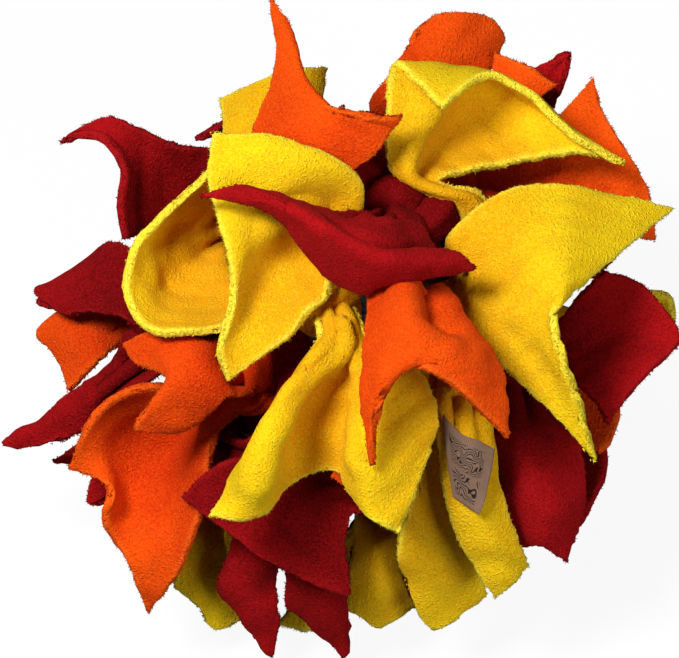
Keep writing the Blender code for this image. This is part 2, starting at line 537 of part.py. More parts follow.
def clear_apart(tails, rounds):
    """Moves the tails until each lies clear of the others, of the knots, of the ball and of the floor.

    Every point of a tail that lies nearer to another tail than the two cloths' half depths and FLAP_ROOM is
    moved straight away from it, towards the side on which most of the two tails already lie.
    """
    nets = {name: net for name, (net, depth) in tails.items()}
    half = {name: depth / 2 for name, (net, depth) in tails.items()}
    half[LABEL_TAIL] = half[LABEL_TAIL] + SEAT_GAP + LABEL_DEPTH
    faces = {name: faces_of(*net.shape[:2]) for name, net in nets.items()}
    votes = {}
    for turn in range(ROUNDS):
        search = UNCROSS_REACH if turn < UNCROSS_ROUNDS else NECK_DEPTH + FLAP_ROOM
        hits = near_places(nets, faces, search)
        points = {name: net.reshape(-1, 3) for name, net in nets.items()}
        moves = {name: np.zeros_like(spots) for name, spots in points.items()}
        for (name, other), found in hits.items():
            vote = side_of(points[name][found[:, 0].astype(int)], found)
            votes[name, other] = votes.get((name, other), 0) + vote
        for (name, other), found in hits.items():
            at = found[:, 0].astype(int)
            side = votes[name, other] - votes.get((other, name), 0)
            need = half[name][at // nets[name].shape[1]] + half[other][found[:, 7].astype(int)] + FLAP_ROOM
            push = push_from(points[name][at], found, side, need, turn < FLIP_ROUNDS)
            longer = np.linalg.norm(push, axis=1) > np.linalg.norm(moves[name][at], axis=1)
            moves[name][at[longer]] = push[longer]
        for name, (drawn, depth) in tails.items():
            moved = nets[name] + moves[name].reshape(drawn.shape) * STEP_SHARE
            nets[name] = bend_back(moved, drawn, half[name], rounds, turn)
    return nets


# Solids
def material(name, colour, roughness):
    made = bpy.data.materials.get(name) or bpy.data.materials.new(name)
    made.use_nodes = True
    shader = made.node_tree.nodes["Principled BSDF"]
    shader.inputs["Base Color"].default_value = (*colour, 1)
    shader.inputs["Roughness"].default_value = roughness
    shader.inputs["Metallic"].default_value = 0
    return made


def show(name, mesh, finish=None, origin=(0, 0, 0)):
    """An object for a bmesh, with its faces pointing out; without a finish it only serves another piece."""
    bmesh.ops.recalc_face_normals(mesh, faces=mesh.faces)
    bmesh.ops.translate(mesh, verts=mesh.verts, vec=-np.array(origin))
    data = bpy.data.meshes.new(name)
    mesh.to_mesh(data)
    mesh.free()
    piece = bpy.data.objects.new(name, data)
    piece.location = origin
    bpy.context.scene.collection.objects.link(piece)
    if finish is None:
        piece.hide_render = True
        piece.display_type = "WIRE"
    else:
        data.materials.append(finish)
        data.shade_smooth()
    return piece


def facing_of(net):
    """The way that each point of a grid faces, away from the ball."""
    facing = unit(np.cross(np.gradient(net, axis=1), np.gradient(net, axis=0)))
    outward = np.sum(facing * (net - MIDDLE))
    return facing * np.sign(outward)


def cloth_mesh(low, high):
    """A sheet of cloth between two grids of points, with the rim that joins them."""
    rows, cols = low.shape[:2]
    mesh = bmesh.new()
    under = [[mesh.verts.new(point) for point in row] for row in low]
    over = [[mesh.verts.new(point) for point in row] for row in high]
    for i in range(rows - 1):
        for j in range(cols - 1):
            mesh.faces.new((over[i][j], over[i][j + 1], over[i + 1][j + 1]))
            mesh.faces.new((over[i][j], over[i + 1][j + 1], over[i + 1][j]))
            mesh.faces.new((under[i][j], under[i + 1][j + 1], under[i][j + 1]))
            mesh.faces.new((under[i][j], under[i + 1][j], under[i + 1][j + 1]))
    rim = [(0, j) for j in range(cols)] + [(i, cols - 1) for i in range(1, rows)]
    rim += [(rows - 1, j) for j in range(cols - 2, -1, -1)] + [(i, 0) for i in range(rows - 2, 0, -1)]
    for (i, j), (k, m) in zip(rim, rim[1:] + rim[:1]):
        mesh.faces.new((over[i][j], under[i][j], under[k][m], over[k][m]))
    return mesh


def tail_mesh(net, depth):
    """A tail's cloth, cut flat where it lies on the floor."""
    lift = facing_of(net) * depth[:, None, None] / 2
    low, high = net - lift, net + lift
    for side in (low, high):
        side[..., 2] = np.maximum(side[..., 2], 0)
    return cloth_mesh(low, high)


def label_mesh(net, depth):
    """The ribbon label, seated on the outer face of its tail."""
    facing = facing_of(net)
    block = (slice(*LABEL_ROWS), slice(*LABEL_COLUMNS))
    low = net + facing * (depth[:, None, None] / 2 + SEAT_GAP)
    high = low + facing * LABEL_DEPTH
    return cloth_mesh(low[block], high[block])


def rounded_root(net, depth, knot):
    """A lifting tail's grid and depth with a half round about its hinge before its first row."""
    radius = NECK_DEPTH / 2
    toward = unit(net[0].mean(axis=0) - knot)
    turns = [math.radians(degrees) for degrees in ROOT_TURNS]
    root = [net[0] - toward * radius * math.sin(turn) for turn in turns]
    return np.concatenate([root, net]), np.concatenate([[2 * radius * math.cos(turn) for turn in turns], depth])


def stub_mesh(net, knot):
    """The flat-ended stub of a knot that a lifting tail's root turns against."""
    toward = unit(net[0].mean(axis=0) - knot)
    side = unit(net[0][-1] - net[0][0])
    line = side * NECK_WIDTH * ROOT_WIDTH_SHARE * np.array([[-.5], [.5]])
    grid = np.array([knot + toward * KNOT_RADIUS * STUB_SHARE + line, knot + toward * KNOT_RADIUS + line])
    lift = np.cross(toward, side) * NECK_DEPTH / 2
    return cloth_mesh(grid - lift, grid + lift)


def knot_mesh(middle):
    mesh = bmesh.new()
    bmesh.ops.create_uvsphere(mesh, u_segments=KNOT_CELLS[0], v_segments=KNOT_CELLS[1], radius=KNOT_RADIUS)
    bmesh.ops.translate(mesh, verts=mesh.verts, vec=middle)
    return mesh


def loop_mesh(seat):
    """The turn of fleece round a rib: a flat band bent to a ring about the rib's length."""
    middle, outward, along = seat
    side = np.cross(along, outward)
    inside = LOOP_INSIDE / math.cos(math.pi / LOOP_CELLS)
    mesh = bmesh.new()
    rings = []
    for k in range(LOOP_CELLS):
        turn = 2 * math.pi * (k + 0.5) / LOOP_CELLS
        way = outward * math.cos(turn) + side * math.sin(turn)
        rings.append([mesh.verts.new(middle + way * radius + along * shift)
                      for radius, shift in ((inside, -LOOP_WIDTH / 2), (inside + FLEECE, -LOOP_WIDTH / 2),
                                            (inside + FLEECE, LOOP_WIDTH / 2), (inside, LOOP_WIDTH / 2))])
    for ring, after in zip(rings, rings[1:] + rings[:1]):
        for a, b in ((0, 1), (1, 2), (2, 3), (3, 0)):
            mesh.faces.new((ring[a], ring[b], after[b], after[a]))
    return mesh


def fuse(piece, others):
    for other in others:
        join = piece.modifiers.new(other.name, "BOOLEAN")
        join.operation = "UNION"
        join.solver = "EXACT"
        join.object = other


def make_ball():
    """The hollow lattice: a dodecahedron's edges kept as ribs, its twelve faces left open."""
    mesh = bmesh.new()
    for corner in ball_corners():
        mesh.verts.new(turn_to_floor(corner / REACH))
    bmesh.ops.convex_hull(mesh, input=mesh.verts)
    bmesh.ops.dissolve_limit(mesh, angle_limit=math.radians(2), verts=mesh.verts, edges=mesh.edges)
    windows = list(mesh.faces)
    bmesh.ops.inset_individual(mesh, faces=windows, thickness=RIB_WIDTH / 2)
    bmesh.ops.delete(mesh, geom=windows, context="FACES")
    ball = show("lattice_ball", mesh, material("black_rubber", (0.03, 0.03, 0.03), 0.7))
    wall = ball.modifiers.new("wall", "SOLIDIFY")
    wall.thickness = RIB_DEPTH
    wall.offset = -1
    wall.use_even_offset = True


def make_strips():
    tails, owners, seats = all_tails()
    rounds = [(knot_middle(seat), KNOT_RADIUS) for seat in seats.values()]
    rounds += [(seat[0], LOOP_OUTSIDE) for seat in seats.values()]
    rounds += [(MIDDLE, BALL_RADIUS + LOOP_OUTSIDE / 2)]
    nets = clear_apart(tails, rounds)
    colours = {"red": RED, "orange": ORANGE, "yellow": YELLOW}
    for strip, seat in seats.items():
        colour = strip.split("_")[0]
        finish = material(colour + "_fleece", colours[colour], 0.95)
        middle = knot_middle(seat)
        knot = show("strip_" + strip, knot_mesh(middle), finish)
        parts = [show(strip + "_loop", loop_mesh(seat))]
        for tail in [tail for tail, owner in owners.items() if owner == strip]:
            net, depth = nets[tail], tails[tail][1]
            if tail in LIFTING:
                parts.append(show(tail + "_stub", stub_mesh(net, middle)))
                show("tail_" + tail, tail_mesh(*rounded_root(net, depth, middle)), finish, net[0].mean(axis=0))
            else:
                parts.append(show(tail, tail_mesh(net, depth)))
        fuse(knot, parts)
    label = label_mesh(nets[LABEL_TAIL], tails[LABEL_TAIL][1])
    show("ribbon_label", label, material("tan_ribbon", (0.26, 0.15, 0.10), 0.85))


def main():
    for piece in list(bpy.data.objects):
        bpy.data.objects.remove(piece)
    make_ball()
    make_strips()


if __name__ == "__main__":
    main()
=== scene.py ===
"""Snuffle ball: thirty fleece strips looped and knotted round the ribs of a hollow rubber lattice ball.

Lengths are metres, +Z is up, and the front view looks along +Y from 50 degrees above level.
"""

import math

import bpy
import numpy as np
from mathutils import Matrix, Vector
from mathutils.bvhtree import BVHTree


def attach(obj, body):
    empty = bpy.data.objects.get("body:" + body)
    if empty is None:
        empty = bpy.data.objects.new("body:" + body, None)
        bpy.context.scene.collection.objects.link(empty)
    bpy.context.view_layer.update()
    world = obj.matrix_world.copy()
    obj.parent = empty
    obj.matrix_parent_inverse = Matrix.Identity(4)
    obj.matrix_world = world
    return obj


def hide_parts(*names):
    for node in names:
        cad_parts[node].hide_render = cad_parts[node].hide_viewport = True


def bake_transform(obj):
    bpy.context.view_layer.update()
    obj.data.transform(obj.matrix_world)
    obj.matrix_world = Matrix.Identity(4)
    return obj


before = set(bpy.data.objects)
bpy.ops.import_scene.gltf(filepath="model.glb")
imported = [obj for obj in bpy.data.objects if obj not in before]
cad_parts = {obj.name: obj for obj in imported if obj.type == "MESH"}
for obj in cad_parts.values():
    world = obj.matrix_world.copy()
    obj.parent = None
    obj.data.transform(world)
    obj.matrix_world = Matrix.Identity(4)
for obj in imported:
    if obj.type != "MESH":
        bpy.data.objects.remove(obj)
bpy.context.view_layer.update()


# Floor, light and camera
# The toy lies on a plain white floor, under a broad soft lamp at its upper left and a weaker one across from
# it. The camera is far off with a long lens, 50 degrees above level, so near and far tails keep their sizes.
REACH = 0.110
REST_HEIGHT = 0.078
VIEW_TILT = math.radians(50)
STAND_SHARES = (0.013, -0.048)
MIDDLE = np.array([STAND_SHARES[0] * REACH, STAND_SHARES[1] * REACH, REST_HEIGHT])
FLOOR_HALF = 4.0
FLOOR_BOUNCE = 0.15
FLOOR_GLOW = 0.92
SKY_LEVEL = 0.03
SENSOR_WIDTH = 36
CAMERA_AWAY = 2.5
PHOTO_WIDTH = 679
REACH_IN_PIXELS = 340
FRAME_WIDTH = PHOTO_WIDTH / REACH_IN_PIXELS * REACH
FRAME_SHIFT = (-5.5 / REACH_IN_PIXELS * REACH, 1 / REACH_IN_PIXELS * REACH)

bpy.context.scene.view_settings.view_transform = "Standard"


def fill(node, **parts):
    """A node given its settings, which are named in small letters, and its sockets, which have their own
    names or are numbered i0, i1 and so on. A socket gets a value, or a link where the value is another
    node's socket."""
    for name, value in parts.items():
        if name[0] == "i" and name[1:].isdigit():
            socket = node.inputs[int(name[1:])]
        elif name[0].isupper():
            socket = node.inputs[name.replace("_", " ")]
        else:
            setattr(node, name, value)
            continue
        if isinstance(value, bpy.types.NodeSocket):
            node.id_data.links.new(value, socket)
        else:
            socket.default_value = value
    return node


def linked(nodes, made, **parts):
    """A new node with its settings and sockets."""
    return fill(nodes.new(made), **parts)


def maths(nodes, operation, first, second=0.0, clamp=False):
    """The outcome of one operation on two values."""
    made = linked(nodes, "ShaderNodeMath", operation=operation, use_clamp=clamp, i0=first, i1=second)
    return made.outputs[0]


def ramp(nodes, value, start, end, low, high, kind="LINEAR"):
    """A value between start and end, carried to between low and high."""
    return linked(nodes, "ShaderNodeMapRange", interpolation_type=kind, Value=value,
                  From_Min=start, From_Max=end, To_Min=low, To_Max=high).outputs[0]


def placed(name, data):
    """A new object in the scene."""
    made = bpy.data.objects.new(name, data)
    bpy.context.scene.collection.objects.link(made)
    return made


def new_material(name):
    """A new material and its nodes."""
    made = bpy.data.materials.new(name)
    made.use_nodes = True
    return made, made.node_tree.nodes


def white_floor():
    """A matt white floor that the camera sees brighter than it is lit, with the toy's shadow kept."""
    made, nodes = new_material("white_floor")
    nodes.clear()
    seen = nodes.new("ShaderNodeLightPath").outputs["Is Camera Ray"]
    matt = linked(nodes, "ShaderNodeBsdfDiffuse", Color=ramp(nodes, seen, 0, 1, FLOOR_BOUNCE, 1))
    bright = linked(nodes, "ShaderNodeEmission", Color=(1, 1, 1, 1), Strength=1)
    mix = linked(nodes, "ShaderNodeMixShader", i0=maths(nodes, "MULTIPLY", seen, FLOOR_GLOW),
                 i1=matt.outputs[0], i2=bright.outputs[0])
    linked(nodes, "ShaderNodeOutputMaterial", Surface=mix.outputs[0])
    return made


floor_mesh = bpy.data.meshes.new("floor")
floor_mesh.from_pydata([(x * FLOOR_HALF, y * FLOOR_HALF, 0) for x, y in ((-1, -1), (1, -1), (1, 1), (-1, 1))],
                       [], [(0, 1, 2, 3)])
floor = placed("floor", floor_mesh)
floor.data.materials.append(white_floor())

world = bpy.data.worlds.new("studio")
world.use_nodes = True
bpy.context.scene.world = world
sky = world.node_tree.nodes
ray = sky.new("ShaderNodeLightPath").outputs
seen = maths(sky, "MAXIMUM", ray["Is Camera Ray"], ray["Is Glossy Ray"])
seen = maths(sky, "MAXIMUM", seen, ray["Is Transmission Ray"])
fill(sky["Background"], Color=(1, 1, 1, 1), Strength=ramp(sky, seen, 0, 1, SKY_LEVEL, 1))


def soft_lamp(name, way, away, size, power):
    """A square lamp that faces the toy from the way given, as far as away."""
    data = bpy.data.lights.new(name, "AREA")
    data.size = size
    data.energy = power
    lamp = placed(name, data)
    way = Vector(way).normalized()
    lamp.location = Vector(MIDDLE) + way * away
    lamp.rotation_euler = way.to_track_quat("Z", "Y").to_euler()


soft_lamp("key_lamp", way=(-0.45, -0.34, 1.0), away=1.4, size=0.40, power=22.5)
soft_lamp("fill_lamp", way=(0.80, -0.90, 0.6), away=1.5, size=0.6, power=8)

toward_camera = Vector((0, -math.cos(VIEW_TILT), math.sin(VIEW_TILT)))
up_in_view = Vector((0, math.sin(VIEW_TILT), math.cos(VIEW_TILT)))
aim = Vector(MIDDLE) + Vector((1, 0, 0)) * FRAME_SHIFT[0] + up_in_view * FRAME_SHIFT[1]
camera_data = bpy.data.cameras.new("camera")
camera_data.sensor_fit = "HORIZONTAL"
camera_data.sensor_width = SENSOR_WIDTH
camera_data.lens = SENSOR_WIDTH * CAMERA_AWAY / FRAME_WIDTH
camera_data.clip_end = 20
camera = placed("camera", camera_data)
camera.location = aim + toward_camera * CAMERA_AWAY
camera.rotation_euler = toward_camera.to_track_quat("Z", "Y").to_euler()
bpy.context.scene.camera = camera


# How the strips lie
# Each strip is a length of anti-pill fleece threaded through two windows of the ball, round one rib, and
# knotted on its outer side, so that its two tails stand out. The tables give every knot and tail as
# shares of the toy's reach, and the tails are then moved apart over a set number of rounds.
BALL_RADIUS = 0.045
RIB_WIDTH = 0.012
RIB_DEPTH = 0.006
BALL_FRONT = (0.33, 0.57, 0.75)
FLEECE = 0.0030
LOOP_WIDTH = 0.010
KNOT_RADIUS = 0.0110
NECK_WIDTH = 0.020
NECK_DEPTH = 0.0085
TAIL_WIDTH = 0.078
LABEL_DEPTH = 0.0008
LABEL_TAIL = "yellow_e_label"
SEAT_GAP = 0.0003
FLAP_ROOM = 0.0008
REST_CUT = 0.0005
LOOP_TIGHT_SHARE = 0.695
LOOP_DROP_SHARE = 0.5
KNOT_SEAT_SHARE = 0.8
SLIDE_SHARE = 0.2
LOOP_INSIDE = LOOP_TIGHT_SHARE * math.hypot(RIB_WIDTH / 2, RIB_DEPTH / 2) + SEAT_GAP
LOOP_OUTSIDE = LOOP_INSIDE + FLEECE
ROOT_SHARE = 0.45
NECK_OUT_SHARE = 1.5
ROOT_WIDTH_SHARE = 0.8
NECK_END_SHARE = 0.42
HINGE_REACH = KNOT_RADIUS + SEAT_GAP + NECK_DEPTH / 2
BACK_CELLS = (3, 4)

# How tails are moved apart: the rounds of moves and of finer moves, the rounds in which crossed tails are
# drawn apart and from how far, the round after which none changes side, and how much of each move is made
ROUNDS = 50
FINER_ROUNDS = (38, 50)
UNCROSS_ROUNDS = 15
UNCROSS_REACH = 0.018
FLIP_ROUNDS = 35
PUSH_LIMIT_SHARE = 0.04
STEP_SHARE = 0.6
STIFF_SHARE = 0.5
STIFF_UNTIL_SHARE = 0.7
INNER_SHARE = 0.8
SURE_SHARE = 0.3
PINNED_ROWS = 2
FINER_PINNED_ROWS = 4

# Each strip's knot in the view from the front and 50 degrees above: x to the right, y up and z towards the
# viewer, from the ball's middle, as shares of REACH
KNOTS = {
    "yellow_a": (-.06, .11, .52), "orange_b": (.04, -.2, .5), "orange_c": (-.28, -.13, .44),
    "red_d": (.18, .31, .41), "yellow_e": (.34, -.2, .36), "orange_f": (-.14, .39, .35),
    "yellow_g": (.41, .14, .31), "red_h": (.12, -.44, .28), "red_i": (-.49, 0, .22),
    "red_j": (-.39, -.32, .19), "yellow_k": (-.41, .32, .16), "orange_l": (.35, .39, .13),
    "red_m": (-.14, -.51, .09), "red_n": (.52, -.13, .09), "red_o": (-.16, .51, .04),
    "yellow_p": (.16, -.51, -.04), "orange_q": (-.52, .13, -.09), "orange_r": (.14, .51, -.09),
    "yellow_s": (-.35, -.39, -.13), "orange_t": (.41, -.32, -.16), "red_u": (.39, .32, -.19),
    "yellow_v": (.49, 0, -.22), "red_w": (.14, -.39, -.35), "orange_x": (-.12, .44, -.28),
    "yellow_y": (-.34, .2, -.36), "red_z": (-.04, .2, -.5), "orange_aa": (.28, .13, -.44),
    "red_bb": (-.43, -.11, -.31), "yellow_cc": (-.18, -.31, -.41), "yellow_dd": (.06, -.11, -.52)
}

# The tails that the photographed view shows. A line with a tail's name gives its cells across and along. The
# lines after it are its rows, from neck to cut end, each with points from side to side as x y z, like KNOTS.
TAIL_LINES = """
yellow_a_left 5 5
.05 .375 .58  -.04 .25 .62  -.05 .08 .64
-.13 .52 .7  -.17 .36 .76  -.2 .2 .66  -.17 -.04 .7
-.375 .56 .7  -.39 .42 .75  -.335 .22 .79  -.32 .08 .79  -.36 -.06 .76  -.34 -.147 .71
yellow_a_middle 5 5
-.06 0 .68  0 -.02 .68  .06 -.02 .67
-.15 -.15 .7  -.11 -.1 .77  -.04 -.09 .7  .02 -.13 .66  .08 -.18 .7  .245 -.15 .65
-.3 -.4 .7  -.23 -.3 .82  -.12 -.26 .68  -.02 -.3 .64  .06 -.4 .74  .235 -.35 .64
-.385 -.53 .72  -.25 -.535 .72  -.12 -.45 .6  -.02 -.41 .6  .07 -.53 .7  .155 -.58 .68
orange_b_front 5 5
.12 .04 .6  .18 0 .6  .22 -.05 .58
.08 .12 .69  .17 .15 .72  .28 .11 .63
.06 -.04 .82  .15 .01 .9  .26 0 .88  .375 -.02 .76
.05 -.22 .84  .1 -.15 .91  .2 -.08 .95  .33 -.08 .9  .455 -.15 .78
.075 -.385 .8  .092 -.23 .88  .15 -.117 .92  .22 -.107 .94  .33 -.18 .9  .46 -.305 .8
orange_b_under 3 4
-.02 -.32 .6  .04 -.34 .6  .1 -.32 .58
-.04 -.42 .58  .04 -.46 .6  .12 -.44 .56
orange_c_curl 5 5
-.4 -.03 .6  -.38 -.1 .62  -.34 -.19 .6
-.52 0 .56  -.46 -.12 .66  -.4 -.25 .58
-.635 -.04 .5  -.6 -.095 .54  -.5 -.14 .64  -.57 -.23 .62  -.6 -.285 .58  -.48 -.295 .56
orange_c_low 5 5
-.46 -.16 .46  -.42 -.24 .46  -.37 -.3 .46
-.62 -.16 .44  -.56 -.26 .32  -.47 -.36 .34  -.4 -.44 .42
-.74 -.27 .4  -.67 -.36 .28  -.56 -.5 .3  -.46 -.66 .34
-.8 -.4 .26  -.72 -.43 .32  -.665 -.48 .38  -.65 -.58 .36  -.62 -.7 .28  -.575 -.825 .16
red_d_front 5 5
.02 .33 .64  .1 .27 .66  .22 .25 .6
-.12 .35 .76  0 .29 .82  .1 .27 .8  .27 .235 .7
-.28 .405 .84  -.14 .34 .91  0 .26 .94  .14 .205 .9  .33 .2 .76
-.41 .38 .86  -.2 .335 .83  -.08 .18 .8  .04 .105 .79  .2 .13 .78  .37 .17 .74
red_d_rear 4 4
.03 .47 .42  .09 .46 .42  .14 .45 .4
-.03 .6 .3  .06 .63 .3  .13 .61 .26
yellow_e_label 4 4
.26 -.2 .52  .34 -.22 .54  .42 -.22 .5
.27 -.36 .52  .35 -.38 .54  .43 -.38 .48
.31 -.56 .44  .4 -.57 .46  .48 -.56 .4
.435 -.775 .3  .48 -.735 .32  .525 -.68 .3
yellow_e_low 4 4
.21 -.26 .44  .25 -.32 .42  .3 -.34 .4
.15 -.6 .34  .24 -.64 .3  .37 -.62 .24
.175 -.7 .26  .195 -.77 .2  .25 -.875 .12  .335 -.83 .12  .41 -.77 .12
orange_f_spike 5 5
-.24 .5 .52  -.13 .48 .56  0 .455 .56
-.26 .6 .5  -.1 .57 .62  .08 .5 .6
-.195 .73 .48  -.11 .65 .6  0 .6 .64  .12 .555 .62
-.22 .965 .38  -.165 .88 .44  -.125 .72 .54  -.04 .625 .64  .06 .61 .67  .163 .612 .62
orange_f_under 3 4
-.25 .38 .48  -.27 .3 .5  -.26 .22 .48
-.3 .42 .54  -.3 .3 .6  -.28 .2 .58
yellow_g_right 5 5
.31 .25 .5  .34 .13 .52  .37 .01 .5
.48 .41 .52  .5 .15 .6  .47 -.12 .56
.72 .4 .42  .6 .12 .66  .6 -.24 .58
.95 .35 .3  .79 .22 .48  .655 .11 .62  .59 .03 .72  .645 -.12 .68  .72 -.375 .52
yellow_g_top 5 5
.335 .34 .42  .365 .365 .38  .395 .39 .34
.14 .45 .47  .2 .44 .46  .27 .43 .41
.12 .58 .48  .24 .58 .42  .4 .475 .34
.13 .7 .48  .25 .68 .42  .35 .63 .26  .47 .57 .2  .57 .488 .32
.16 .77 .4  .3 .78 .32  .45 .75 .26  .6 .655 .26  .72 .52 .3
.28 .635 .52  .34 .69 .48  .42 .735 .42  .55 .67 .38  .66 .56 .36  .81 .485 .3
red_h_left 5 5
-.04 -.36 .46  -.03 -.44 .46  .02 -.52 .42
-.2 -.34 .52  -.16 -.5 .52  0 -.62 .42
-.36 -.38 .48  -.22 -.57 .5  .01 -.7 .38
-.47 -.48 .4  -.37 -.57 .46  -.27 -.645 .47  -.17 -.7 .45  -.07 -.745 .4  .01 -.77 .34
red_h_under 3 4
.22 -.52 .22  .26 -.48 .22  .28 -.42 .2
.34 -.6 .16  .38 -.52 .2  .4 -.44 .2
red_i_spike 4 4
-.62 -.04 .22  -.62 -.09 .24  -.6 -.14 .22
-.76 -.15 .16  -.74 -.2 .18  -.71 -.25 .16
-.89 -.275 .04  -.955 -.31 0  -1.01 -.335 -.02  -.93 -.342 .02  -.81 -.315 .1
red_i_left 4 4
-.59 .2 .26  -.62 .11 .28  -.6 .02 .28
-.66 .255 .18  -.7 .15 .22  -.7 .05 .24
-.76 .185 .08  -.845 .135 .04  -.91 .11 .02  -.86 .07 .08  -.8 .04 .14
red_j_deep 4 4
-.28 -.32 .42  -.26 -.38 .4  -.24 -.44 .36
-.2 -.2 .5  -.12 -.3 .52  -.06 -.4 .5
-.26 .1 .5  -.16 .06 .56  -.08 -.03 .59
red_j_left 3 4
-.52 -.34 .14  -.52 -.38 .16  -.51 -.42 .14
-.74 -.42 .06  -.755 -.515 .02  -.68 -.48 .08
yellow_k_cup 5 5
-.34 .38 .37  -.43 .25 .36  -.31 .15 .43
-.33 .44 .48  -.54 .26 .44  -.53 .1 .46  -.3 .07 .54
-.37 .475 .56  -.5 .35 .59  -.6 .25 .61  -.635 .13 .62  -.56 -.005 .65  -.35 0 .66
yellow_k_rear 4 4
-.38 .45 .26  -.32 .46 .28  -.25 .46 .26
-.35 .57 .26  -.25 .59 .32  -.1 .6 .24
-.365 .67 .18  -.28 .705 .22  -.19 .745 .24  -.12 .762 .2  -.055 .765 .16
orange_l_right 4 4
.48 .5 .12  .52 .42 .14  .52 .33 .12
.62 .62 .1  .68 .46 .14  .68 .3 .12
.73 .74 .02  .755 .64 .08  .83 .51 .12  .89 .4 .12  .91 .265 .06
orange_l_rear 4 4
.38 .55 .02  .44 .55 .04  .5 .54 0
.42 .68 .06  .48 .69 .08  .54 .66 .06
.44 .81 .04  .52 .78 .1  .62 .72 .08
red_m_right 4 4
-.16 -.6 .2  -.09 -.62 .22  -.01 -.6 .2
-.175 -.72 .2  -.09 -.74 .24  0 -.73 .2
-.18 -.8 .12  -.1 -.87 .1  -.04 -.92 .06  0 -.955 .02  0 -.86 .1
red_m_left 4 4
-.29 -.58 .2  -.23 -.6 .22  -.18 -.6 .2
-.355 -.68 .18  -.27 -.71 .22  -.185 -.71 .18
-.36 -.76 .12  -.31 -.83 .1  -.26 -.9 .05  -.21 -.96 0  -.19 -.86 .08
red_n_right 5 5
.62 .03 .28  .63 -.06 .26  .62 -.15 .3
.7 .12 .36  .76 0 .26  .7 -.18 .38
.75 .17 .36  .87 .125 .3  .975 -.015 .26  .905 -.1 .32  .82 -.19 .38  .755 -.27 .4
red_n_low 4 4
.46 -.26 .3  .54 -.27 .3  .62 -.24 .26
.43 -.4 .34  .55 -.44 .42  .7 -.4 .34
.45 -.52 .32  .58 -.53 .42  .69 -.5 .32
.495 -.63 .26  .53 -.625 .3  .57 -.62 .34  .61 -.65 .31  .64 -.67 .28
red_o_hook 5 5
-.33 .56 .06  -.35 .5 .1  -.37 .42 .06
-.5 .54 .16  -.52 .44 .1  -.5 .31 .08
-.66 .625 .16  -.6 .5 .16  -.58 .29 .12
-.83 .55 .1  -.765 .572 .15  -.7 .555 .2  -.648 .47 .24  -.657 .37 .26  -.638 .265 .26
red_o_rear 3 4
-.3 .6 -.02  -.26 .62 0  -.22 .64 -.02
-.44 .56 0  -.38 .6 .02  -.3 .66 0  -.22 .7 -.04
yellow_p_front 4 4
.04 -.53 .12  .1 -.56 .16  .16 -.57 .12
.02 -.67 .14  .09 -.69 .18  .16 -.7 .12
.005 -.81 .08  .05 -.84 .08  .095 -.87 .06  .15 -.84 .04  .2 -.805 0
yellow_p_left 4 4
-.02 -.64 -.08  0 -.62 -.12  .04 -.6 -.16
-.2 -.87 -.1  -.1 -.89 -.12  0 -.86 -.14
orange_q_left 4 4
-.66 .08 0  -.67 .02 .04  -.66 -.04 .06
-.78 .07 .04  -.76 -.02 .1  -.72 -.1 .14
-.82 .06 0  -.905 -.01 -.02  -.865 -.055 .02  -.83 -.11 .04  -.81 -.185 .1
orange_r_top 4 4
.08 .65 .02  .18 .66 .06  .28 .64 0
.14 .76 .06  .26 .78 .12  .42 .76 .02
.21 .87 .1  .26 .92 .09  .35 .93 .05  .42 .918 0  .47 .86 -.04
yellow_s_low 4 4
-.48 -.56 0  -.42 -.56 .02  -.36 -.56 0
-.5 -.68 .04  -.42 -.7 .06  -.34 -.7 .02
-.5 -.755 .02  -.44 -.8 .02  -.41 -.85 -.02  -.375 -.88 -.04  -.31 -.85 -.06
yellow_s_left 3 4
-.5 -.44 -.12  -.52 -.4 -.14  -.52 -.36 -.16
-.66 -.58 -.06  -.68 -.52 -.06  -.68 -.44 -.08
orange_t_right 4 4
.56 -.3 .02  .56 -.24 0  .57 -.18 -.02
.745 -.36 .14  .775 -.33 .14  .8 -.25 .12  .79 -.18 .08  .78 -.12 .06
red_u_spike 4 4
.46 .5 -.16  .5 .48 -.14  .55 .46 -.16
.5 .66 -.12  .56 .66 -.08  .6 .62 -.1
.56 .765 -.1  .62 .8 -.06  .665 .82 -.08  .65 .76 -.06  .62 .7 -.04
yellow_v_right 4 4
.66 .06 -.18  .68 0 -.16  .66 -.06 -.18
.9 .115 0  .955 .1 -.02  .97 .04 -.02  .965 -.02 -.01  .94 -.07 0
red_w_right 4 4
.34 -.46 -.34  .36 -.42 -.36  .36 -.38 -.38
.55 -.52 -.18  .57 -.46 -.18  .58 -.4 -.2
.69 -.575 -.02  .73 -.51 -.01  .76 -.43 0  .765 -.37 0  .755 -.31 -.02
"""

